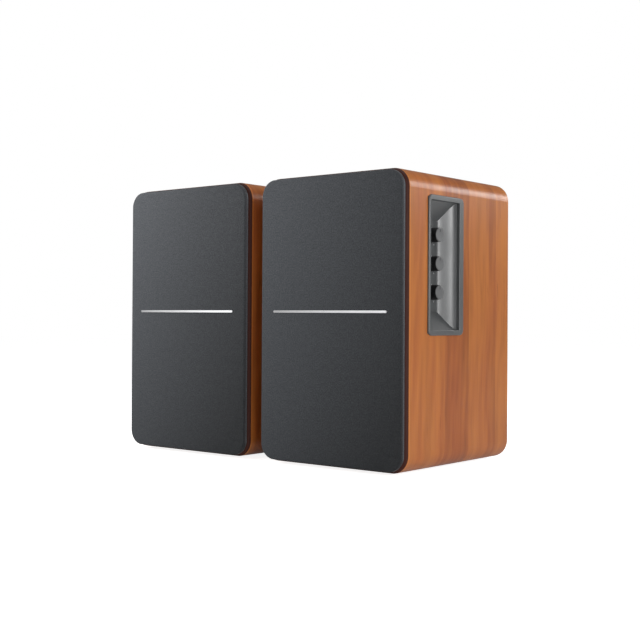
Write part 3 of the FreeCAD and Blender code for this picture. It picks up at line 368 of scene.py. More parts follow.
@dataclass(frozen=True)
class WoodWrap(Look):
    """Wood-grain vinyl: planks side by side along the depth, their grain running round the cabinet.

    Attributes:
        pale: The palest wood, between the grain lines.
        deep: The darkest wood.
        red: The reddish tint that drifts along the grain.
        edge: Colour of the painted shade on the front edge beside the grille.
        planks: Each plank's width in metres and its place from pale 0 to deep 1.
        front: Depth at which the first plank starts.
        sway: Repeats per metre and reach in metres of the grain's slow bends.
        smoke: Repeats per metre of the red tint, along the grain and across it.
        streak: The same for the broad pale and dark streaks.
        fine: The same for the fine grain lines.
        fleck: The same for the short dark pores.
        gloss: The shader's specular level.
        rough: Roughness between the fine lines and on them.
        depth: Depth of the pores, in metres.
        lip: Width of the painted highlight line where the wrap turns over the front edge, in metres.
        painted_edge_shade: Depths before the first plank at which the painted shade is full and ends, in
            metres.
    """

    pale: Colour
    deep: Colour
    red: Colour
    edge: Colour
    planks: tuple[tuple[float, float], ...]
    front: float
    sway: tuple[float, float] = (7.0, 0.0080)
    smoke: tuple[float, float] = (8.0, 85.0)
    streak: tuple[float, float] = (13.0, 150.0)
    fine: tuple[float, float] = (16.0, 1200.0)
    fleck: tuple[float, float] = (38.0, 900.0)
    gloss: float = 0.35
    rough: tuple[float, float] = (0.30, 0.38)
    depth: float = 0.00003
    lip: float = 0.0012
    painted_edge_shade: tuple[float, float] = (0.0010, 0.0003)

    def paint(self, graph: Graph) -> None:
        """Lays red tint, streaks, grain lines and pores over the planks, then paints shade on the front edge
        and a highlight line where the wrap turns over it.

        The lines fade on faces that look along the depth, since the grain's repeats lie across it.

        Args:
            graph: The material's graph.
        """
        repeats, reach = self.sway
        sway = graph.noise(graph.position([repeats] * 3), detail=1.0)
        shift = graph.add("CombineXYZ", 0.0, graph.spread(sway, -reach, reach, 0.0, 1.0), 0.0).outputs[0]
        bent = graph.add("VectorMath", graph.coords.outputs["Object"], shift, operation="ADD").outputs[0]
        board = self.board(graph)
        smoke = self.drawn(graph, bent, self.smoke, 2.0)
        streak = self.drawn(graph, bent, self.streak, 2.5)
        fine = self.drawn(graph, bent, self.fine, 2.0, 0.6)
        fleck = self.drawn(graph, bent, self.fleck, 1.0)
        normal = graph.add("SeparateXYZ", graph.add("NewGeometry").outputs["Normal"]).outputs["Y"]
        along = graph.spread(graph.math("ABSOLUTE", normal), 1.0, 0.15, 0.6, 0.95)
        tone = graph.mix(graph.spread(smoke, 0.0, 0.50, 0.36, 0.68), board, self.red)
        # Pale streaks, dark streaks, fine lines and pores: how much of each shows, and its shade.
        for share, shade in ((graph.spread(streak, 0.0, 0.36, 0.44, 0.72), scaled(self.pale, 1.25)),
                             (graph.spread(streak, 0.28, 0.0, 0.28, 0.48), scaled(self.deep, 0.80)),
                             (graph.spread(fine, 0.0, 0.10), scaled(self.deep, 0.78)),
                             (graph.spread(fleck, 0.0, 0.50, 0.70, 0.78), scaled(self.deep, 0.45))):
            tone = graph.mix(graph.math("MULTIPLY", share, along), tone, shade)
        depth = graph.add("SeparateXYZ", graph.coords.outputs["Object"]).outputs["Y"]
        # Painted shade: the front edge beside the grille is darkened to the edge colour, and made rougher
        # there.
        painted_edge_shade = graph.spread(depth, 1.0, 0.0, *(self.front - before for before in self.painted_edge_shade))
        # Painted highlight: a pale line just behind the front edge, where the wrap turns over it.
        lip = graph.spread(depth, 0.45, 0.0, self.front, self.front + self.lip)
        tone = graph.mix(painted_edge_shade, graph.mix(lip, tone, scaled(self.pale, 1.5)), self.edge)
        graph.set(Base_Color=tone, Specular_IOR_Level=self.gloss)
        polish = graph.math("ADD", graph.spread(fine, *self.rough), graph.spread(smoke, -0.03, 0.03))
        graph.set(Roughness=graph.math("ADD", polish, graph.math("MULTIPLY", painted_edge_shade, 0.4)))
        graph.bump(graph.math("SUBTRACT", fine, fleck), self.depth, 0.5)

    def drawn(self, graph: Graph, place: bpy.types.NodeSocket, repeats: tuple[float, float],
              detail: float, rough: float = 0.55) -> bpy.types.NodeSocket:
        """Draws a noise out along the grain.

        Args:
            graph: The material's graph.
            place: Where the noise is read.
            repeats: Its repeats per metre along the grain and across it.
            detail: How many finer layers it has.
            rough: How strong they are.

        Returns:
            The noise value.
        """
        along, across = repeats
        return graph.noise(graph.stretched(place, (along, across, along)), detail, rough)

    def board(self, graph: Graph) -> bpy.types.NodeSocket:
        """The colour of the plank at a depth, with a thin darker seam where two planks meet.

        Args:
            graph: The material's graph.

        Returns:
            The colour.
        """
        depth = graph.add("SeparateXYZ", graph.coords.outputs["Object"]).outputs["Y"]
        total = sum(width for width, _ in self.planks)
        ramp = graph.add("ValToRGB", graph.spread(depth, 0.0, 1.0, self.front, self.front + total))
        ramp.color_ramp.interpolation = "CONSTANT"
        start = 0.0
        for place, (width, tone) in enumerate(self.planks):
            stops = ramp.color_ramp.elements
            stop = stops[place] if place < 2 else stops.new(start / total)
            stop.position = start / total
            stop.color = (tone, tone, tone, 1.0)
            start += width
        return graph.mix(ramp.outputs[0], self.pale, self.deep)


@dataclass(frozen=True)
class GrilleCloth(Look):
    """Knitted grille cloth: two sets of threads that cross, with small slubs. Its colour carries painted
    light and shade from one corner to the other, and a painted highlight on its flanks.

    Attributes:
        thread: Colour of the threads.
        hollow: Colour between them.
        pitch: Distance between threads, in metres.
        fade: How much the painted light pales the cloth at one corner and the painted shade deepens it at the
            opposite one.
        reach: Half the diagonal over which it does so, in metres.
        turn: Distance from the middle at which the cloth turns back round the frame, where a highlight is
            painted on it, in metres.
        turned: Width over which the painted highlight grows there.
        slope: Shares of U and V in the diagonal.
        slub: Repeats per metre of the slubs and their height against the weave's.
        patch: Repeats per metre of the soft patches and how much they darken the cloth.
        depth: Depth of the weave, in metres.
        rough: Roughness where the patches are lightest and darkest.
    """

    thread: Colour
    hollow: Colour
    pitch: float
    fade: float
    reach: float
    turn: float
    turned: float = 0.0012
    slope: tuple[float, float] = (0.9, 0.45)
    slub: tuple[float, float] = (900.0, 0.28)
    patch: tuple[float, float] = (230.0, 0.11)
    depth: float = 0.00008
    rough: tuple[float, float] = (0.62, 0.78)

    def paint(self, graph: Graph) -> None:
        """Weaves the cloth as |sin U| * |sin V| and paints light and shade on it, paler toward one corner and
        darker toward the other, with a painted highlight on its flanks.

        Args:
            graph: The material's graph.
        """
        threads = math.pi / self.pitch
        place = graph.add("SeparateXYZ", graph.position((threads, threads, 1), use_uv=True))
        waves = [graph.math("ABSOLUTE", graph.math("SINE", place.outputs[axis])) for axis in ("X", "Y")]
        weave = graph.math("MULTIPLY", *waves)
        repeats, rise = self.slub
        slub = graph.noise(graph.position((repeats, repeats, 1), use_uv=True), detail=2.0)
        height = graph.math("ADD", weave, graph.spread(slub, -rise, rise))
        repeats, shade = self.patch
        patch = graph.noise(graph.position((repeats, repeats, 1), use_uv=True), detail=3.0, rough=0.7)
        tone = graph.mix(graph.math("MULTIPLY", height, 0.8, True), self.hollow, self.thread)
        tone = graph.mix(graph.spread(patch, 0.0, shade, 0.35, 0.65), tone, scaled(self.hollow, 0.8))
        # Painted light and shade: the colour grows paler toward the upper left and darker toward the lower
        # right.
        corner = graph.add("SeparateXYZ", graph.position((*self.slope, 1), use_uv=True))
        along = graph.math("SUBTRACT", corner.outputs["Y"], corner.outputs["X"])
        painted_shading = graph.spread(along, 1.0 - self.fade, 1.0 + self.fade, -self.reach, self.reach)
        # Painted highlight: the colour pales on the left and right flanks, where the cloth turns round the
        # frame.
        across = graph.add("SeparateXYZ", graph.position((1, 1, 1), use_uv=True)).outputs["X"]
        flank = graph.spread(graph.math("ABSOLUTE", across), 0.0, 1.0, self.turn, self.turn + self.turned)
        painted_shading = graph.math("ADD", painted_shading, flank)
        tone = graph.mix(1.0, tone, graph.add("CombineXYZ", painted_shading, painted_shading, painted_shading).outputs[0], "MULTIPLY")
        graph.set(Base_Color=tone, Sheen_Weight=0.06, Sheen_Roughness=0.45, Specular_IOR_Level=0.2)
        graph.set(Roughness=graph.spread(patch, *self.rough))
        graph.bump(height, self.depth, 0.28)


@dataclass(frozen=True)
class BrightBar(Look):
    """A brushed bar whose colour grows brighter toward its right end, a painted reflection.

    Attributes:
        colour: Its colour at the bright end.
        painted_reflection_low: Share of that colour at the other end, where the painted reflection is
            dimmest.
        pitch: Distance between the middles of the two speakers, so that both bars look the same.
        start: Where a bar starts within that distance.
        end: Where it ends.
        brush: Repeats per metre of the brushing along the bar and across it.
        rough: Roughness where the brushing is faintest and strongest.
        depth: Depth of the brushing, in metres.
    """

    colour: Colour
    painted_reflection_low: float
    pitch: float
    start: float
    end: float
    brush: tuple[float, float] = (150.0, 5000.0)
    rough: tuple[float, float] = (0.26, 0.34)
    depth: float = 0.000004

    def paint(self, graph: Graph) -> None:
        """Paints a reflection: brightens the metal's colour along X, counted from the start of each speaker's
        own pitch.

        Args:
            graph: The material's graph.
        """
        length, width = self.brush
        brush = graph.noise(graph.position((length, width, width)))
        across = graph.add("SeparateXYZ", graph.position((1, 1, 1))).outputs["X"]
        along = graph.math("FLOORED_MODULO", graph.math("ADD", across, self.pitch), self.pitch)
        # Painted reflection: the colour rises from the dim share at the start to full at the end.
        share = graph.spread(along, self.painted_reflection_low, 1.0, self.start, self.end)
        share = graph.math("ADD", share, graph.spread(brush, -0.04, 0.04), True)
        tone = graph.mix(share, scaled(self.colour, 0.02), self.colour)
        graph.set(Base_Color=tone, Metallic=1.0, Roughness=graph.spread(brush, *self.rough))
        graph.bump(brush, self.depth)


# The walnut wrap's last colour is the painted shade on its front edge beside the grille.
WALNUT = WoodWrap(
    "walnut_wrap", srgb(183, 113, 53), srgb(138, 75, 36), srgb(154, 78, 42), srgb(54, 15, 2),
    planks=((0.049, 0.26), (0.035, 0.88), (0.031, 0.28), (0.011, 0.60), (0.040, 0.10)), front=-0.0762)
CLOTH = GrilleCloth("grille_cloth_dark", srgb(82, 85, 88), srgb(43, 45, 49), 0.0006, fade=0.55, reach=0.095,
                    turn=0.0722)
PANEL_GREY = Finish("panel_grey", srgb(70, 72, 73), rough=0.42, cell=0.0004, depth=0.00002, wear=0.15,
                    extras={"Specular_IOR_Level": 0.9})
KNOB_BLACK = Finish("knob_black", srgb(12, 12, 13), rough=0.42, wear=0.1)
KNOB_CAP = Finish("knob_cap", srgb(92, 93, 94), rough=0.4, cell=0.0003, depth=0.00001, wear=0.2)
BLACK_BOARD = Finish("black_vinyl_board", srgb(40, 40, 42), rough=0.5, cell=0.0011, depth=0.00008)
BLACK_PLASTIC = Finish("black_plastic", srgb(38, 38, 40), rough=0.45, cell=0.0005)
BRIGHT_METAL = BrightBar("bright_bar", srgb(243, 243, 245), painted_reflection_low=0.38, pitch=0.162, start=0.024, end=0.137)
BASKET_PAINT = Finish("basket_paint", srgb(42, 42, 44), rough=0.4, cell=0.0008)
MOTOR_STEEL = Finish("motor_steel", srgb(120, 122, 126), rough=0.35, metal=1.0, cell=0.0008)
CONE_PAPER = Finish("cone_paper", srgb(46, 46, 49), rough=0.72, cell=0.0013, depth=0.00012, wear=0.1)
ROLL_RUBBER = Finish("roll_rubber", srgb(34, 34, 36), rough=0.42, cell=0.0009, wear=0.1)
SPIDER_CLOTH = Finish("spider_cloth", srgb(190, 150, 88), rough=0.85, cell=0.0005, depth=0.0001)
DOME_SILK = Finish("dome_silk", srgb(36, 36, 40), rough=0.55, cell=0.0003, depth=0.00003, wear=0.0,
                   extras={"Sheen_Weight": 0.3})
PLATE_PAINT = Finish("plate_paint", srgb(48, 49, 52), rough=0.48, cell=0.0006, depth=0.00005, wear=0.5)
LEVER_RED = Finish("lever_red", srgb(196, 34, 28), rough=0.3)
LEVER_BLACK = Finish("lever_black", srgb(30, 30, 32), rough=0.3)
SHAFT_STEEL = Finish("shaft_steel", srgb(180, 182, 186), rough=0.3, metal=1.0)
JACK_METAL = Finish("jack_metal", srgb(205, 207, 210), rough=0.22, metal=1.0, cell=0.0004, depth=0.00001)
JACK_RED = Finish("jack_red", srgb(190, 30, 30), rough=0.35)
JACK_WHITE = Finish("jack_white", srgb(226, 226, 222), rough=0.35)
SCREW_STEEL = Finish("screw_steel", srgb(40, 41, 44), rough=0.35, metal=0.6, wear=0.6)
CIRCUIT_BOARD = Finish("circuit_board", srgb(38, 98, 58), rough=0.35)
TRANSFORMER = Finish("transformer_steel", srgb(150, 145, 138), rough=0.45, metal=0.8, stretch=(1, 1, 20))
FOOT_RUBBER = Finish("foot_rubber", srgb(32, 32, 34), rough=0.8, cell=0.0009, depth=0.00008)
PRINT_WHITE = Finish("printed_white", srgb(228, 228, 226), rough=0.5, wear=0.0)
PRINT_GREY = Finish("printed_marks", srgb(205, 207, 208), rough=0.6, wear=0.0)

NODE_FINISHES: dict[str, Look] = {
    "cabinet": WALNUT, "front_baffle": BLACK_BOARD, "rear_panel": BLACK_BOARD, "grille_frame": BLACK_PLASTIC,
    "grille_cloth": CLOTH, "accent_strip": BRIGHT_METAL, "grille_sockets": BLACK_PLASTIC,
    "woofer_basket": BASKET_PAINT, "woofer_motor": MOTOR_STEEL, "woofer_surround": ROLL_RUBBER,
    "woofer_cone": CONE_PAPER, "woofer_dust_cap": CONE_PAPER, "woofer_spider": SPIDER_CLOTH,
    "tweeter_faceplate": BLACK_PLASTIC, "tweeter_motor": MOTOR_STEEL, "tweeter_dome": DOME_SILK,
    "tweeter_surround": DOME_SILK, "port_tube": BLACK_PLASTIC, "panel_screws": SCREW_STEEL,
    "rubber_feet": FOOT_RUBBER, "terminal_housing": BLACK_PLASTIC, "terminal_lever_red": LEVER_RED,
    "terminal_lever_black": LEVER_BLACK, "crossover_board": CIRCUIT_BOARD, "amplifier_plate": PLATE_PAINT,
    "control_panel": PANEL_GREY, "treble_knob": KNOB_BLACK, "bass_knob": KNOB_BLACK,
    "volume_knob": KNOB_BLACK, "treble_shaft": SHAFT_STEEL, "bass_shaft": SHAFT_STEEL,
    "volume_shaft": SHAFT_STEEL, "potentiometers": SHAFT_STEEL, "control_board": CIRCUIT_BOARD,
    "power_switch_frame": BLACK_PLASTIC, "power_rocker": LEVER_BLACK, "input_jacks": JACK_METAL,
    "cord_gland": BLACK_PLASTIC, "transformer": TRANSFORMER, "amplifier_board": CIRCUIT_BOARD,
}


# ---------------------------------------------------------------- surfaces

def mesh_piece(name: str, points: np.ndarray, faces: np.ndarray, finish: Look,
               uv: Optional[np.ndarray] = None) -> bpy.types.Object:
    """Makes a smooth-shaded piece from worked-out points.

    Args:
        name: The piece's name.
        points: N by 3 places in metres.
        faces: Rows of vertex numbers.
        finish: The finish it wears.
        uv: N by 2 surface coordinates in metres, where the finish follows the surface.

    Returns:
        The object, at the origin with its place in its mesh.
    """
    mesh = bpy.data.meshes.new(name)
    mesh.from_pydata(points.tolist(), [], faces.tolist())
    mesh.polygons.foreach_set("use_smooth", np.ones(len(mesh.polygons), bool))
    if uv is not None:
        corners = np.zeros(len(mesh.loops), np.int32)
        mesh.loops.foreach_get("vertex_index", corners)
        layer = mesh.uv_layers.new(name="surface")
        layer.data.foreach_set("uv", uv[corners].astype(np.float32).ravel())
    mesh.materials.append(finish.material())
    mesh.validate()
    piece = bpy.data.objects.new(name, mesh)
    bpy.context.scene.collection.objects.link(piece)
    return piece


def grid_faces(rows: int, columns: int, close_rows: bool = False, close_columns: bool = False) -> np.ndarray:
    """Quads between the neighbours of a grid of points.

    Each quad joins point (i, j) to (i, j+1), (i+1, j+1) and (i+1, j). A closed direction wraps round.

    Args:
        rows: Points along the first parameter.
        columns: Points along the second.
        close_rows: Joins the last row to the first.
        close_columns: Joins the last column to the first.

    Returns:
        The quads as rows of four vertex numbers.
    """
    i, j = np.meshgrid(np.arange(rows if close_rows else rows - 1),
                       np.arange(columns if close_columns else columns - 1), indexing="ij")
    i, j = i.ravel(), j.ravel()
    down, right = (i + 1) % rows, (j + 1) % columns
    return np.stack([i * columns + j, i * columns + right, down * columns + right, down * columns + j], 1)


def rounded_outline(width: float, height: float, radius: float, arc_steps: int = 12,
                    side_steps: int = 24) -> tuple[np.ndarray, np.ndarray]:
    """Points round a rectangle whose corners are quarter arcs.

    The corner arcs are (cos a, sin a) times the radius about the four corner centres, and the sides are
    divided evenly between them.

    Args:
        width: Full width along the first axis.
        height: Full height along the second.
        radius: Corner radius.
        arc_steps: Points on each arc.
        side_steps: Points on each side.

    Returns:
        The points and their outward normals, both N by 2, anticlockwise.
    """
    half_w, half_h = width / 2 - radius, height / 2 - radius
    quarter = np.linspace(0, math.pi / 2, arc_steps)
    corners = [(half_w, half_h), (-half_w, half_h), (-half_w, -half_h), (half_w, -half_h)]
    points, normals = [], []
    for turn, (x, z) in enumerate(corners):
        angle = quarter + turn * math.pi / 2
        normal = np.stack([np.cos(angle), np.sin(angle)], 1)
        arc = np.array([x, z]) + radius * normal
        after = corners[(turn + 1) % 4]
        direction = (turn + 1) * math.pi / 2
        next_start = np.array(after) + radius * np.array([math.cos(direction), math.sin(direction)])
        share = np.linspace(0, 1, side_steps + 2)[1:-1, None]
        side = arc[-1] * (1 - share) + next_start * share
        points += [arc, side]
        normals += [normal, np.repeat(normal[-1:], side_steps, 0)]
    return np.concatenate(points), np.concatenate(normals)


def revolve(name: str, radii: Sequence[float], depths: Sequence[float], centre: Vector, finish: Look,
            steps: int = 96, axis: int = 1, factor: Optional[np.ndarray] = None) -> bpy.types.Object:
    """Turns a closed profile about a line along Y or X.

    Point (i, j) is radius i at angle j round the axis, times factor (i, j), moved along it by depth i. A
    radius of 0 closes onto the axis.

    Args:
        name: The piece's name.
        radii: The profile's radii, in order round the profile.
        depths: The profile's places along the axis.
        centre: A point on the axis, from which the depths count.
        finish: The finish it wears.
        steps: Points round the axis.
        axis: 1 to turn about Y and 0 to turn about X.
        factor: Factors for the radii, one row per profile place and one column per step.

    Returns:
        The piece.
    """
    angle = np.linspace(0, 2 * math.pi, steps, endpoint=False)[None, :]
    radius = np.asarray(radii, float)[:, None] * (np.ones_like(angle) if factor is None else factor)
    along = np.asarray(depths, float)[:, None] + 0 * angle
    across, up = radius * np.cos(angle), radius * np.sin(angle)
    parts = (across, along, up) if axis == 1 else (along, across, up)
    points = np.stack(parts, -1).reshape(-1, 3) + np.array(centre)
    closed = radii[0] > 0 and radii[-1] > 0
    faces = grid_faces(len(radii), steps, close_rows=closed, close_columns=True)
    piece = mesh_piece(name, points, faces, finish)
    tidy_shell(piece)
    return piece


def tidy_shell(piece: bpy.types.Object) -> None:
    """Merges a piece's doubled points and turns its faces outwards.

    Args:
        piece: The piece.
    """
    work = bmesh.new()
    work.from_mesh(piece.data)
    bmesh.ops.remove_doubles(work, verts=work.verts, dist=SAME_POINT)
    bmesh.ops.recalc_face_normals(work, faces=work.faces)
    work.to_mesh(piece.data)
    work.free()


def block(name: str, centre: Vector, size: Vector, finish: Look) -> bpy.types.Object:
    """Makes a plain block about a centre, its corners at the centre plus or minus half the size.

    Args:
        name: The block's name.
        centre: Its centre.
        size: Its full size.
        finish: The finish it wears.

    Returns:
        The block.
    """
    signs = np.array([(-1, -1, -1), (1, -1, -1), (1, 1, -1), (-1, 1, -1),
                      (-1, -1, 1), (1, -1, 1), (1, 1, 1), (-1, 1, 1)], float)
    faces = np.array([(0, 3, 2, 1), (4, 5, 6, 7), (0, 1, 5, 4), (1, 2, 6, 5), (2, 3, 7, 6), (3, 0, 4, 7)])
    piece = mesh_piece(name, np.array(centre) + signs * np.array(size) / 2, faces, finish)
    crease(piece)
    return piece


def middle(node: str) -> Vector:
    """The centre of a CAD node's box."""
    low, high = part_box(node)
    return (low + high) / 2


def solid_points(node: str) -> np.ndarray:
    """Reads the points of a CAD node's mesh.

    Args:
        node: The node's name.

    Returns:
        The points, N by 3.
    """
    vertices = bpy.data.objects[node].data.vertices
    points = np.zeros(len(vertices) * 3)
    vertices.foreach_get("co", points)
    return points.reshape(-1, 3)


def crease(piece: bpy.types.Object, degrees: float = 35.0) -> None:
    """Keeps edges sharper than an angle crisp in a smooth-shaded piece."""
    piece.data.set_sharp_from_angle(angle=math.radians(degrees))


def wall(piece: bpy.types.Object, front: Vector, thickness: float) -> None:
    """Turns an open surface to look one way and gives it a thickness behind.

    Args:
        piece: The open surface.
        front: The way its first face should look.
        thickness: The thickness in metres.
    """
    if piece.data.polygons[0].normal.dot(front) < 0:
        piece.data.flip_normals()
    shell = piece.modifiers.new("wall", "SOLIDIFY")
    shell.thickness = thickness
    shell.offset = -1


def there_and_back(radii: np.ndarray, depths: np.ndarray, skin: float) -> tuple[np.ndarray, np.ndarray]:
    """Closes a thin profile: out along its front, which lies skin before its rear, and back along the rear.

    Args:
        radii: Radii along the profile.
        depths: Depths of its rear surface.
        skin: Its thickness.

    Returns:
        Radii and depths of the closed profile.
    """
    return np.concatenate([radii, radii[::-1]]), np.concatenate([depths - skin, depths[::-1]])


# ---------------------------------------------------------------- the grilles

@dataclass
class Grille:
    """The cloth front of one speaker.

    Attributes:
        side: Which speaker.
        corner: Corner radius of the cloth's outline.
        edge: Rounding from its front to its side.
        thickness: Thickness of the cloth.
        sag: How far the cloth dips between the frame's rails.
        rail: Width of the frame's rail under the cloth.
        rings: Rows of points from the middle out to the rounding.
        crowding: Power that crowds the rows toward the outline where it is below 1.
    """

    side: Side
    corner: float = 13.4 * MM
    edge: float = 1.4 * MM
    thickness: float = 0.45 * MM
    sag: float = 0.25 * MM
    rail: float = 9.0 * MM
    rings: int = 26
    crowding: float = 0.8

    def cloth(self) -> bpy.types.Object:
        """Builds the stretched cloth.

        With s the share of the way from the middle to the outline, a front point is s times the outline
        point, dipped by sag * (1 - (s / s_rail)^4) inside the rail. The edge is a quarter arc that turns
        the outline's normal towards the back, and the side runs straight back to the frame's rear.

        Returns:
            The cloth, which stands for the CAD node.
        """
        node = self.side.node("grille_cloth")
        low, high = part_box(node)
        centre = middle(node)
        outline, normals = rounded_outline(high.x - low.x - 2 * self.edge, high.z - low.z - 2 * self.edge,
                                           self.corner - self.edge, side_steps=30)
        share = np.linspace(0, 1, self.rings) ** self.crowding
        inside = np.clip(share / (1 - 2 * self.rail / (high.x - low.x)), 0, 1)
        turn = np.linspace(0, math.pi / 2, 8)[1:]
        run = np.linspace(0, high.y - low.y - self.edge, 4)[1:]
        out = np.concatenate([np.zeros(self.rings), self.edge * np.sin(turn), [self.edge] * len(run)])
        back = np.concatenate([self.sag * (1 - inside ** 4), self.edge * (1 - np.cos(turn)), self.edge + run])
        grow = np.concatenate([share, np.ones(len(turn) + len(run))])
        arc = np.concatenate([np.zeros(self.rings), self.edge * turn, self.edge * math.pi / 2 + run])
        flat = grow[:, None, None] * outline[None] + out[:, None, None] * normals[None]
        depth = low.y + back[:, None] + np.zeros(len(outline))
        points = np.stack([centre.x + flat[..., 0], depth, centre.z + flat[..., 1]], -1)
        uv = grow[:, None, None] * outline[None] + arc[:, None, None] * normals[None]
        faces = grid_faces(len(grow), len(outline), close_columns=True)
        piece = mesh_piece(self.side.node("stretched_cloth"), points.reshape(-1, 3), faces, CLOTH,
                           uv.reshape(-1, 2))
        tidy_shell(piece)
        wall(piece, Vector((0, -1, 0)), self.thickness)
        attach(piece, self.side.node("grille"))
        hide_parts(node)
        return piece


# ---------------------------------------------------------------- drive units

def half_roll(inner: float, outer: float, inner_depth: float, outer_depth: float, rise: float, skin: float,
              lip: float, land: float, steps: int = 18) -> tuple[np.ndarray, np.ndarray]:
    """Profile of a half-roll surround: land, roll and lip, front surface out and rear surface back.

    The roll's front is outer_depth..inner_depth joined by a half sine that rises towards the front:
    depth = straight line between the two feet minus rise * sin(pi * s) over s from 0 to 1.

    Args:
        inner: Radius where the roll meets the cone.
        outer: Radius where it meets the flange.
        inner_depth: Depth of the rear face at the cone.
        outer_depth: Depth of the rear face at the flange.
        rise: Height of the roll.
        skin: Thickness.
        lip: Width glued to the flange.
        land: Width glued to the cone.
        steps: Points over the roll.

    Returns:
        Radii and depths of the closed profile.
    """
    s = np.linspace(0, 1, steps)
    radius = inner + (outer - inner) * s
    depth = inner_depth + (outer_depth - inner_depth) * s - rise * np.sin(math.pi * s)
    radii = np.concatenate([[inner - land], radius, [outer + lip]])
    depths = np.concatenate([[inner_depth], depth, [outer_depth]])
    return there_and_back(radii, depths, skin)


@dataclass
class Woofer:
    """The suspension parts of one woofer: its rubber surround and its corrugated spider.

    Attributes:
        side: Which speaker.
        roll_width: Width of the half roll.
        roll_rise: Its height.
        skin: Its thickness.
        lip: Width glued to the flange.
        land: Width glued to the cone.
        slack: Gap between the surround's lip and the flange's bore.
        pleats: Waves in the spider.
        wave: Their height each way.
        neck: Radius of the coil former that the spider is glued to, and the gap that the glue fills.
        spider_lands: Widths glued at the former and at the basket.
        drop: Depth from the spider's seat on the basket to its neck.
        weave: Thickness of the spider's cloth.
    """

    side: Side
    roll_width: float = 6.5 * MM
    roll_rise: float = 4.3 * MM
    skin: float = 0.7 * MM
    lip: float = 2.9 * MM
    land: float = 2.4 * MM
    slack: float = 0.1 * MM
    pleats: int = 4
    wave: float = 0.9 * MM
    neck: tuple[float, float] = (10.8 * MM, 0.05 * MM)
    spider_lands: tuple[float, float] = (2.0 * MM, 5.0 * MM)
    drop: float = 2.4 * MM
    weave: float = 0.5 * MM

    def surround(self) -> bpy.types.Object:
        """Builds the surround, which spans between the flange and the cone.

        Returns:
            The surround, which stands for the CAD node.
        """
        node = self.side.node("woofer_surround")
        low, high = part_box(node)
        flange_low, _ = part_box(self.side.node("woofer_basket"))
        cone_low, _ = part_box(self.side.node("woofer_cone"))
        centre = middle(node)
        outer = (high.x - low.x) / 2 - self.lip - self.slack
        inner = outer - self.roll_width
        axis_point = Vector((centre.x, 0, centre.z))
        radii, depths = half_roll(inner, outer, cone_low.y, flange_low.y, self.roll_rise, self.skin,
                                  self.lip, self.land)
        piece = revolve(self.side.node("rubber_surround"), radii, depths, axis_point, ROLL_RUBBER, steps=120)
        crease(piece)
        self.side.node("woofer_moving")
        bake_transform(piece)
        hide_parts(node)
        return piece

    def spider(self) -> bpy.types.Object:
        """Builds the spider.

        Over s from 0 to 1 its radius grows from the neck's land to the basket's, and its depth is the
        straight line between them plus wave * sin(2 pi * pleats * s) * sin(pi * s).

        Returns:
            The spider, which stands for the CAD node.
        """
        node = self.side.node("woofer_spider")
        low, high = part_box(node)
        centre = middle(node)
        neck, gap = self.neck
        inner_land, outer_land = self.spider_lands
        inner, outer = neck + inner_land, (high.x - low.x) / 2
        seat, coil = high.y - self.drop, high.y
        s = np.linspace(0, 1, 60)
        radius = inner + (outer - outer_land - inner) * s
        pleat = self.wave * np.sin(2 * math.pi * self.pleats * s) * np.sin(math.pi * s)
        radii, depths = there_and_back(np.concatenate([[neck + gap], radius, [outer]]),
                                       np.concatenate([[coil], coil + (seat - coil) * s + pleat, [seat]]),
                                       self.weave)
        piece = revolve(self.side.node("pleated_spider"), radii, depths, Vector((centre.x, 0, centre.z)),
                        SPIDER_CLOTH, steps=96)
        self.side.node("woofer_moving")
        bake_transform(piece)
        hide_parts(node)
        return piece


@dataclass
class Tweeter:
    """The suspension ring of one tweeter.

    Attributes:
        side: Which speaker.
        skin: Thickness of the silk.
        rise: Height of the half roll.
        lip: Width glued to the plate.
        slack: Gap between the lip and the plate's bore, and between the roll and the dome.
        drop: How far the roll's foot at the dome lies before its foot at the plate.
        bend: Distances before the seat at which the ring would start and stop moving with the dome; not used.
    """

    side: Side
    skin: float = 0.2 * MM
    rise: float = 0.55 * MM
    lip: float = 0.55 * MM
    slack: float = 0.05 * MM
    drop: float = 0.35 * MM
    bend: tuple[float, float] = (0.1 * MM, 0.5 * MM)

    def surround(self) -> bpy.types.Object:
        """Builds the narrow half roll round the dome.

        Returns:
            The ring, which stands for the CAD node.
        """
        node = self.side.node("tweeter_surround")
        low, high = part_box(node)
        dome_low, dome_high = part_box(self.side.node("tweeter_dome"))
        centre, seat = middle(node), high.y
        inner = (dome_high.x - dome_low.x) / 2 + self.slack
        outer = (high.x - low.x) / 2 - self.lip - self.slack
        radii, depths = half_roll(inner, outer, seat - self.drop, seat, self.rise, self.skin,
                                  self.lip, 0.0, steps=12)
        piece = revolve(self.side.node("silk_ring"), radii, depths, Vector((centre.x, 0, centre.z)),
                        DOME_SILK, steps=72)
        self.side.node("tweeter_moving")
        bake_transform(piece)
        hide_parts(node)
        return piece


# ---------------------------------------------------------------- the controls

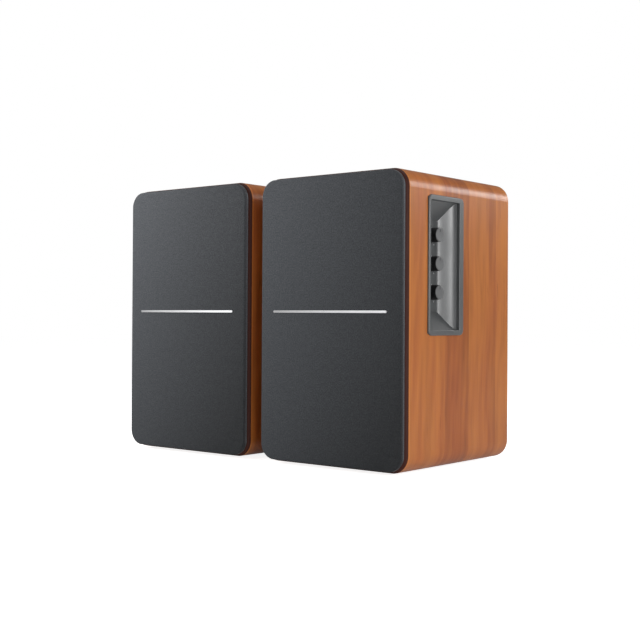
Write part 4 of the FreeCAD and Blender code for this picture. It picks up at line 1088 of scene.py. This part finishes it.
@dataclass
class Knob:
    """A rotary control: a fluted skirt with a pale, slightly dished cap and a pointer line.

    Attributes:
        name: The control: treble, bass or volume.
        flutes: Grooves round the skirt.
        groove: Depth of a groove over the radius.
        rim: Rounding of the cap's edge.
        dish: How far the cap's middle sinks.
        taper: How much the skirt's radius narrows up to the cap.
        hollow: Share of the skirt's radius at which the rear is left open for the shaft.
        crown: Share of the rim, down from the cap, that wears the cap's finish.
        crisp: Angle in degrees past which an edge stays sharp.
        pointer: Length, width and height of the pointer line.
        pointer_seat: Distance from the knob's edge to the pointer, and its depth below the cap's rim.
    """

    name: str
    flutes: int = 30
    groove: float = 0.030
    rim: float = 0.6 * MM
    dish: float = 0.15 * MM
    taper: float = 0.3 * MM
    hollow: float = 0.6
    crown: float = 0.9
    crisp: float = 50.0
    pointer: tuple[float, float, float] = (2.6 * MM, 0.7 * MM, 0.12 * MM)
    pointer_seat: tuple[float, float] = (1.1 * MM, 0.02 * MM)

    def node(self) -> str:
        """The CAD node that the control stands for."""
        return f"right_{self.name}_knob"

    def body(self) -> bpy.types.Object:
        """Builds the knob.

        The profile runs up the skirt from radius r0 to r1, round the rim by a quarter arc and in over the
        cap, whose depth is dish * (1 - (r / r_cap)^2). The radii of the skirt are multiplied by
        1 - groove * (1 + cos(flutes * angle)) / 2.

        Returns:
            The knob, which stands for the CAD node.
        """
        low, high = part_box(self.node())
        base = (high.y - low.y) / 2
        top = base - self.taper
        length = high.x - low.x
        turn = np.linspace(0, math.pi / 2, 6)
        skirt = np.linspace(0, 1, 10)
        cap = np.linspace(top - self.rim, 0, 8)[1:]
        radii = np.concatenate([[base * self.hollow], base + (top - base) * skirt,
                                top - self.rim + self.rim * np.cos(turn)[1:], cap])
        along = np.concatenate([[0.0], (length - self.rim) * skirt,
                                length - self.rim + self.rim * np.sin(turn)[1:],
                                length - self.dish * (1 - (cap / (top - self.rim)) ** 2)])
        fluted = np.zeros((len(radii), 1))
        fluted[2:len(skirt)] = 1.0
        steps = self.flutes * STEPS_PER_FLUTE
        angle = np.linspace(0, 2 * math.pi, steps, endpoint=False)
        grooves = 1 - self.groove * fluted * (1 + np.cos(self.flutes * angle)) / 2
        centre = middle(self.node())
        centre.x = low.x
        piece = revolve(f"{self.name}_control", radii, along, centre, KNOB_BLACK, steps=steps, axis=0,
                        factor=grooves)
        piece.data.materials.append(KNOB_CAP.material())
        middles = np.zeros(len(piece.data.polygons) * 3)
        piece.data.polygons.foreach_get("center", middles)
        on_cap = middles[0::3] > high.x - self.rim * self.crown
        piece.data.polygons.foreach_set("material_index", on_cap.astype(np.int32))
        crease(piece, self.crisp)
        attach(piece, f"{self.name}_control")
        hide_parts(self.node())
        return piece

    def mark(self) -> bpy.types.Object:
        """Builds the pointer line, a thin bar let into the cap from near its middle to its rim.

        Returns:
            The pointer line.
        """
        _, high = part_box(self.node())
        length, width, height = self.pointer
        inset, sunk = self.pointer_seat
        centre = Vector((high.x - height / 2 - sunk, middle(self.node()).y, high.z - inset - length / 2))
        piece = block(f"{self.name}_pointer", centre, Vector((height, width, length)), KNOB_BLACK)
        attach(piece, f"{self.name}_control")
        return piece


@dataclass
class DialMarks:
    """The printed scale round one knob: fine ticks, with a minus and a plus at its ends.

    Attributes:
        name: The control.
        ticks: How many ticks.
        sweep: Angle from the middle tick to each end, in degrees.
        start: Distance from the knob's axis to a tick's inner end.
        size: Length and width of a tick.
        lift: Distance from the pocket's floor to the knob's skirt.
        film: Height of the print over the pocket's floor.
        sign: Length of a sign's strokes.
        sign_place: Distance of a sign from the axis, sideways and down.
    """

    name: str
    ticks: int = 11
    sweep: float = 140.0
    start: float = 6.7 * MM
    size: tuple[float, float] = (0.9 * MM, 0.32 * MM)
    lift: float = 0.4 * MM
    film: float = 0.05 * MM
    sign: float = 1.3 * MM
    sign_place: tuple[float, float] = (6.3 * MM, 7.2 * MM)

    def build(self) -> bpy.types.Object:
        """Builds the scale.

        Tick k stands at angle a = sweep * (2 k / (ticks - 1) - 1) from the top, its middle at
        (sin a, cos a) times its distance. The signs stand past the first and last tick.

        Returns:
            The scale as one piece.
        """
        knob = f"right_{self.name}_knob"
        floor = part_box(knob)[0].x - self.lift
        hub = np.array(middle(knob))[1:]
        length, width = self.size
        angle = np.radians(self.sweep) * np.linspace(-1, 1, self.ticks)
        out = np.stack([np.sin(angle), np.cos(angle)], 1)
        across = np.stack([np.cos(angle), -np.sin(angle)], 1)
        corners = np.array([(-1, -1), (1, -1), (1, 1), (-1, 1)], float)
        flat = (hub + out[:, None] * (self.start + length / 2 + corners[None, :, :1] * length / 2)
                + across[:, None] * corners[None, :, 1:] * width / 2)
        signs = [self.bar(hub, -1, self.sign, width), self.bar(hub, 1, self.sign, width),
                 self.bar(hub, 1, width, self.sign)]
        flat = np.concatenate([flat, np.stack(signs)]).reshape(-1, 2)
        points = np.concatenate([np.full((len(flat), 1), floor + self.film), flat], 1)
        faces = np.arange(len(points)).reshape(-1, 4)
        piece = mesh_piece(f"{self.name}_scale", points, faces, PRINT_GREY)
        wall(piece, Vector((1, 0, 0)), self.film * INK_SUNK)
        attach(piece, FIXED_BODY)
        return piece

    def bar(self, hub: np.ndarray, side: int, wide: float, tall: float) -> np.ndarray:
        """Works out one stroke of a sign below the knob: its centre plus or minus half its size.

        Args:
            hub: The knob's axis.
            side: -1 for the sign on the left and 1 for the one on the right.
            wide: The stroke's width.
            tall: Its height.

        Returns:
            The four corners.
        """
        sideways, down = self.sign_place
        centre = hub + np.array([side * sideways, -down])
        return centre + np.array([(-wide, -tall), (wide, -tall), (wide, tall), (-wide, tall)]) / 2


# ---------------------------------------------------------------- screws and small marks

@dataclass
class Screws:
    """The cross-recess pan-head screws of both speakers.

    Attributes:
        head: Radius of a head.
        height: Height of its rim; the crown stands this much again times dome above it.
        dome: Share of the height that the crown adds.
        arms: Half width and half length of the recess's arms.
        recess: Depth of the recess.
        shank: Radius and length of the shank.
        basket: Screws of a woofer's basket: how many, the first one's angle in degrees and their radius.
        plate: The same for a tweeter's plate.
        terminals: Distance of the terminal housing's screws from its middle.
        amplifier: Distances of the amplifier plate's screws from its middle, across and up.
        band: Shares of the head's radius between which its rim is looked for.
        broken: Shares of the head's radius and height at which its rim's edge is broken.
    """

    head: float = 2.8 * MM
    height: float = 1.0 * MM
    dome: float = 0.45
    arms: tuple[float, float] = (0.38 * MM, 1.5 * MM)
    recess: float = 0.75 * MM
    shank: tuple[float, float] = (1.35 * MM, 4.0 * MM)
    basket: tuple[int, float, float] = (4, 45.0, 51.0 * MM)
    plate: tuple[int, float, float] = (3, 90.0, 23.0 * MM)
    terminals: float = 23.7 * MM
    amplifier: tuple[float, float] = (51.5 * MM, 95.5 * MM)
    band: tuple[float, float] = (0.8, 1.2)
    broken: tuple[float, float] = (0.95, 0.85)

    def places(self) -> list[tuple[Vector, float]]:
        """Finds where each head sits.

        The solid screws' own points are searched near each screw's axis: the head's points lie farther
        from the axis than the shank's, and the one of their two planes nearer the shank is the seat.

        Returns:
            A point on each axis in the plane of its seat, with -1 for a head that faces the front and 1
            for one that faces the back.
        """
        points = solid_points("panel_screws")
        found = []
        for x, z, facing in self.axes():
            far = np.hypot(points[:, 0] - x, points[:, 2] - z)
            inner, outer = (self.head * share for share in self.band)
            near = (far > inner) & (far < outer) & (points[:, 1] * facing > 0)
            depths = points[near, 1]
            found.append((Vector((x, depths.max() if facing < 0 else depths.min(), z)), facing))
        return found

    def axes(self) -> list[tuple[float, float, float]]:
        """Works out where each screw's axis is from the pieces that the screws hold.

        Returns:
            Each axis's place across and up, with the way its head faces.
        """
        found = []
        for side in Side:
            found += self.ring(middle(side.node("woofer_basket")), *self.basket)
            found += self.ring(middle(side.node("tweeter_faceplate")), *self.plate)
            housing = middle(side.node("terminal_housing"))
            found += [(housing.x + dx, housing.z, 1.0) for dx in (-self.terminals, self.terminals)]
        centre = middle("right_amplifier_plate")
        across, up = self.amplifier
        return found + [(centre.x + dx, centre.z + dz, 1.0)
                        for dx in (-across, across) for dz in (-up, 0.0, up)]

    def ring(self, centre: Vector, count: int, start: float,
             radius: float) -> list[tuple[float, float, float]]:
        """Axes spaced evenly round a ring that faces the front."""
        angles = np.radians(start + 360 / count * np.arange(count))
        return [(centre.x + radius * math.cos(a), centre.z + radius * math.sin(a), -1.0) for a in angles]

    def one(self, rings: int = 16, steps: int = 32) -> tuple[np.ndarray, np.ndarray]:
        """Works out one screw about the origin, its head towards +Y.

        On the head, the height at radius r is height * (1 + dome * (1 - (r / head)^2)), less the recess
        wherever the point lies within the arms of a cross, |x| < a and |z| < b or the other way about.

        Args:
            rings: Rows of points over the head.
            steps: Points round it.

        Returns:
            Points and faces.
        """
        half, reach = self.arms
        thin, long = self.shank
        inset, shoulder = self.broken
        across = np.concatenate([np.linspace(0, self.head * inset, rings),
                                 [self.head, self.head, thin, thin, 0.0]])
        angle = np.linspace(0, 2 * math.pi, steps, endpoint=False)
        x, z = across[:, None] * np.cos(angle), across[:, None] * np.sin(angle)
        crown = self.height * (1 + self.dome * (1 - (across[:, None] / self.head) ** 2)) + 0 * x
        cross = ((np.abs(x) < half) & (np.abs(z) < reach)) | ((np.abs(z) < half) & (np.abs(x) < reach))
        y = np.where(cross, crown - self.recess, crown)
        y[rings:] = np.array([self.height * shoulder, 0.0, 0.0, -long, -long])[:, None]
        points = np.stack([x, y, z], -1).reshape(-1, 3)
        return points, grid_faces(len(across), steps, close_columns=True)

    def build(self) -> bpy.types.Object:
        """Builds all the screws as one piece.

        Returns:
            The screws, which stand for the CAD node.
        """
        points, faces = self.one()
        spots = self.places()
        turned = [points * np.array([1, facing, 1]) + np.array(spot) for spot, facing in spots]
        joined = np.concatenate([faces + len(points) * k for k in range(len(spots))])
        piece = mesh_piece("cross_recess_screws", np.concatenate(turned), joined, SCREW_STEEL)
        tidy_shell(piece)
        crease(piece)
        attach(piece, FIXED_BODY)
        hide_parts("panel_screws")
        return piece


@dataclass
class SocketRings:
    """The red and white insulators of the four phono sockets.

    Attributes:
        flange: Radius of a socket's flange.
        face: Inner and outer radius of the insulator in the socket's mouth.
        collar: Inner and outer radius of the coloured collar on the flange.
        depth: How far each stands out of the metal.
        reach: Distance from the flange's face to the socket's mouth.
    """

    flange: float = 6.5 * MM
    face: tuple[float, float] = (1.8 * MM, 3.3 * MM)
    collar: tuple[float, float] = (4.25 * MM, 6.1 * MM)
    depth: float = 0.12 * MM
    reach: float = 7.8 * MM

    def build(self) -> list[bpy.types.Object]:
        """Builds a face ring and a collar for each socket, red in one column and white in the other.

        Each ring turns a rectangle about Y, from its inner to its outer radius and depth each way.

        Returns:
            The rings.
        """
        low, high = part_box("right_input_jacks")
        columns = ((low.x + self.flange, JACK_RED, "red"), (high.x - self.flange, JACK_WHITE, "white"))
        rows = ((low.z + self.flange, "lower"), (high.z - self.flange, "upper"))
        made = []
        for x, finish, colour in columns:
            for z, row in rows:
                for part, (inner, outer), depth in (("mouth", self.face, high.y),
                                                    ("collar", self.collar, high.y - self.reach)):
                    piece = revolve(f"{colour}_{row}_{part}", [inner, outer, outer, inner],
                                    [-self.depth, -self.depth, self.depth, self.depth],
                                    Vector((x, depth, z)), finish, steps=48)
                    crease(piece)
                    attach(piece, FIXED_BODY)
                    made.append(piece)
        return made


@dataclass
class SwitchMarks:
    """The line and the ring that mark the power rocker's two ends.

    Attributes:
        offset: Distance of each mark from the rocker's middle.
        line: Half width and half height of the line.
        ring: Inner and outer radius of the ring.
        film: Height of the print.
        above: How far past the rocker's middle its face's ridges lie, clear of its pivot pins.
        steps: Points round the ring.
        rows: Points along the line.
    """

    offset: float = 4.2 * MM
    line: tuple[float, float] = (0.25 * MM, 1.3 * MM)
    ring: tuple[float, float] = (0.95 * MM, 1.4 * MM)
    film: float = 0.06 * MM
    above: float = 2.0 * MM
    steps: int = 40
    rows: int = 6

    def build(self) -> bpy.types.Object:
        """Builds both marks on the rocker's face.

        The ring's points are r * (cos a, sin a) for two radii, and the line is a grid over its rectangle.
        Their depth follows the solid rocker's own face, straight between the heights of its ridges.

        Returns:
            The marks as one piece.
        """
        centre = middle("right_power_rocker")
        turns = np.linspace(0, 2 * math.pi, self.steps, endpoint=False)
        ring = np.array(self.ring)[:, None, None] * np.stack([np.cos(turns), np.sin(turns)], -1)[None]
        half_x, half_z = self.line
        u, v = np.meshgrid([-half_x, half_x], np.linspace(-half_z, half_z, self.rows), indexing="ij")
        flat = np.concatenate([ring.reshape(-1, 2) + [0, -self.offset],
                               np.stack([u, v], -1).reshape(-1, 2) + [0, self.offset]])
        faces = np.concatenate([grid_faces(2, self.steps, close_columns=True),
                                grid_faces(2, self.rows) + 2 * self.steps])
        ridges = solid_points("right_power_rocker")
        ridges = ridges[ridges[:, 1] > centre.y + self.above]
        ridges = ridges[np.argsort(ridges[:, 2])]
        up = centre.z + flat[:, 1]
        depth = np.interp(up, ridges[:, 2], ridges[:, 1]) + self.film
        points = np.stack([centre.x + flat[:, 0], depth, up], 1)
        piece = mesh_piece("rocker_marks", points, faces, PRINT_WHITE)
        wall(piece, Vector((0, 1, 0)), self.film * INK_SUNK)
        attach(piece, "power_rocker")
        return piece


# ---------------------------------------------------------------- the whole pair

@dataclass
class Pair:
    """Dresses every CAD node with the finish of its name.

    Attributes:
    """

    frame: dict

    def dress(self) -> int:
        """Gives each shown node its finish.

        Returns:
            How many nodes were dressed.
        """
        for name, node in self.frame["nodes"].items():
            part = name.removeprefix("left_").removeprefix("right_")
            made = NODE_FINISHES[part].material()
            for place in range(max(1, len(node.material_slots))):
                if place < len(node.data.materials):
                    node.data.materials[place] = made
                else:
                    node.data.materials.append(made)
        return len(self.frame["nodes"])


@dataclass(frozen=True)
class Lamp:
    """A soft rectangular lamp.

    Attributes:
        name: Its name.
        place: Where it hangs.
        aim: The point that it lights.
        face: Width and height of its face.
        power: Watts.
    """

    name: str
    place: Place
    aim: Place
    face: tuple[float, float]
    power: float

    def hang(self) -> bpy.types.Object:
        """Adds the lamp to the scene, its face turned to its aim.

        Returns:
            The lamp.
        """
        data = bpy.data.lights.new(self.name, "AREA")
        data.shape = "RECTANGLE"
        data.size, data.size_y = self.face
        data.energy = self.power
        lamp = bpy.data.objects.new(self.name, data)
        bpy.context.scene.collection.objects.link(lamp)
        turn = (Vector(self.aim) - Vector(self.place)).to_track_quat("-Z", "Y").to_matrix().to_4x4()
        lamp.matrix_world = Matrix.Translation(Vector(self.place)) @ turn
        return lamp


LAMPS = (
    Lamp("side_key", (1.29, -0.42, 0.27), (0.15, 0.0, 0.15), (0.42, 0.42), 7.8),
    Lamp("front_card", (1.15, -0.84, 0.30), (0.15, -0.03, 0.2), (0.20, 0.28), 2.5),
    Lamp("left_card", (-0.80, -0.945, 0.2), (0.0, -0.085, 0.13), (0.80, 0.3), 0.66),
    Lamp("left_box", (-0.44, -0.36, 0.38), (-0.05, -0.08, 0.15), (0.30, 0.36), 2.6),
    Lamp("overhead", (0.09, 0.10, 1.05), (0.02, 0.02, 0.2), (0.4, 0.4), 2.9),
    Lamp("rear_rim", (0.74, 1.12, 0.60), (0.15, 0.05, 0.2), (0.5, 0.3), 4.3),
)


@dataclass
class Studio:
    """Floor, room and camera.

    Attributes:
        focal: Focal length in millimetres on a 36 mm sensor.
        yaw: Camera's turn to the left of +Y, in degrees.
        pitch: Its tilt above level.
        roll: Its roll.
        drop: Shift of the film that sets the pair at the frame's middle again.
        stand: Camera's place from the active grille's front at the foot of its cabinet.
        soft_fill: Strength of the even light from the room.
        reflected: Brightness of the room in reflections.
        floor_half: Half the floor's side, in metres.
        floor_grey: The floor's own tone.
        floor_seen: Brightness of the floor to the camera.
        floor_mirrored: Share of that in reflections.
    """

    focal: float = 63.05
    yaw: float = 39.32
    pitch: float = 0.44
    roll: float = 0.326
    drop: float = -0.0195
    stand: Place = (0.5581, -0.6915, 0.1201)
    soft_fill: float = 0.14
    reflected: float = 0.2
    floor_half: float = 4.0
    floor_grey: float = 0.86
    floor_seen: float = 0.87
    floor_mirrored: float = 0.2

    def camera(self) -> bpy.types.Object:
        """Sets up the camera, which stands off from the foot of the active speaker's grille.

        Returns:
            The camera.
        """
        cabinet, cloth = Side.RIGHT.node("cabinet"), Side.RIGHT.node("grille_cloth")
        foot = Vector((middle(cabinet).x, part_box(cloth)[0].y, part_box(cabinet)[0].z))
        data = bpy.data.cameras.new("camera")
        data.lens = self.focal
        data.sensor_width = SENSOR
        data.shift_y = self.drop
        data.clip_start = 0.01
        eye = bpy.data.objects.new("camera", data)
        bpy.context.scene.collection.objects.link(eye)
        turn = (Matrix.Rotation(math.radians(self.yaw), 4, "Z")
                @ Matrix.Rotation(math.radians(90 + self.pitch), 4, "X")
                @ Matrix.Rotation(math.radians(self.roll), 4, "Z"))
        eye.matrix_world = Matrix.Translation(foot + Vector(self.stand)) @ turn
        bpy.context.scene.camera = eye
        return eye

    def floor(self) -> bpy.types.Object:
        """Lays the pale floor, which looks white to the camera and keeps the soft shadow.

        Returns:
            The floor.
        """
        corners = np.array([[-1, -1, 0], [1, -1, 0], [1, 1, 0], [-1, 1, 0]], float)
        graph = Graph("pale_floor")
        path = graph.add("LightPath")
        mirrored = graph.math("MULTIPLY", path.outputs["Is Glossy Ray"], self.floor_mirrored)
        seen = graph.math("MAXIMUM", path.outputs["Is Camera Ray"], mirrored)
        graph.set(Base_Color=(self.floor_grey,) * 3, Roughness=0.9, Emission_Color=(1.0, 1.0, 1.0))
        graph.set(Emission_Strength=graph.spread(seen, 0.0, self.floor_seen, 0.0, 1.0))
        plate = mesh_piece("floor", corners * self.floor_half, np.array([[0, 1, 2, 3]]), PRINT_GREY)
        plate.data.materials[0] = graph.material
        return plate

    def world(self) -> None:
        """Lights the room softly and evenly, shows it white to the camera and dims it in reflections."""
        room = bpy.data.worlds.new("room")
        bpy.context.scene.world = room
        room.use_nodes = True
        tree = room.node_tree
        back = tree.nodes["Background"]
        path = tree.nodes.new("ShaderNodeLightPath")
        strength = self.soft_fill
        for ray, level in (("Is Glossy Ray", self.reflected), ("Is Camera Ray", 1.0)):
            mixed = tree.nodes.new("ShaderNodeMix")
            tree.links.new(path.outputs[ray], mixed.inputs[0])
            if isinstance(strength, float):
                mixed.inputs[2].default_value = strength
            else:
                tree.links.new(strength, mixed.inputs[2])
            mixed.inputs[3].default_value = level
            strength = mixed.outputs[0]
        tree.links.new(strength, back.inputs["Strength"])
        back.inputs["Color"].default_value = (1, 1, 1, 1)

    def build(self) -> None:
        """Sets up the whole studio."""
        bpy.context.scene.view_settings.view_transform = "Standard"
        self.camera()
        for lamp in LAMPS:
            lamp.hang()
        self.floor()
        self.world()


def main() -> None:
    """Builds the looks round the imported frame."""
    logging.basicConfig(level=logging.INFO, format="%(message)s")
    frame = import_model()
    LOG.info("dressed %d nodes", Pair(frame).dress())
    for side in Side:
        LOG.info("built %s", Grille(side).cloth().name)
        LOG.info("built %s", Woofer(side).surround().name)
        LOG.info("built %s", Woofer(side).spider().name)
        LOG.info("built %s", Tweeter(side).surround().name)
    for name in ("treble", "bass", "volume"):
        LOG.info("built %s, %s and %s", Knob(name).body().name, Knob(name).mark().name,
                 DialMarks(name).build().name)
    LOG.info("built %s", Screws().build().name)
    LOG.info("built %d socket rings", len(SocketRings().build()))
    LOG.info("built %s", SwitchMarks().build().name)
    Studio().build()


if __name__ == "__main__":
    main()
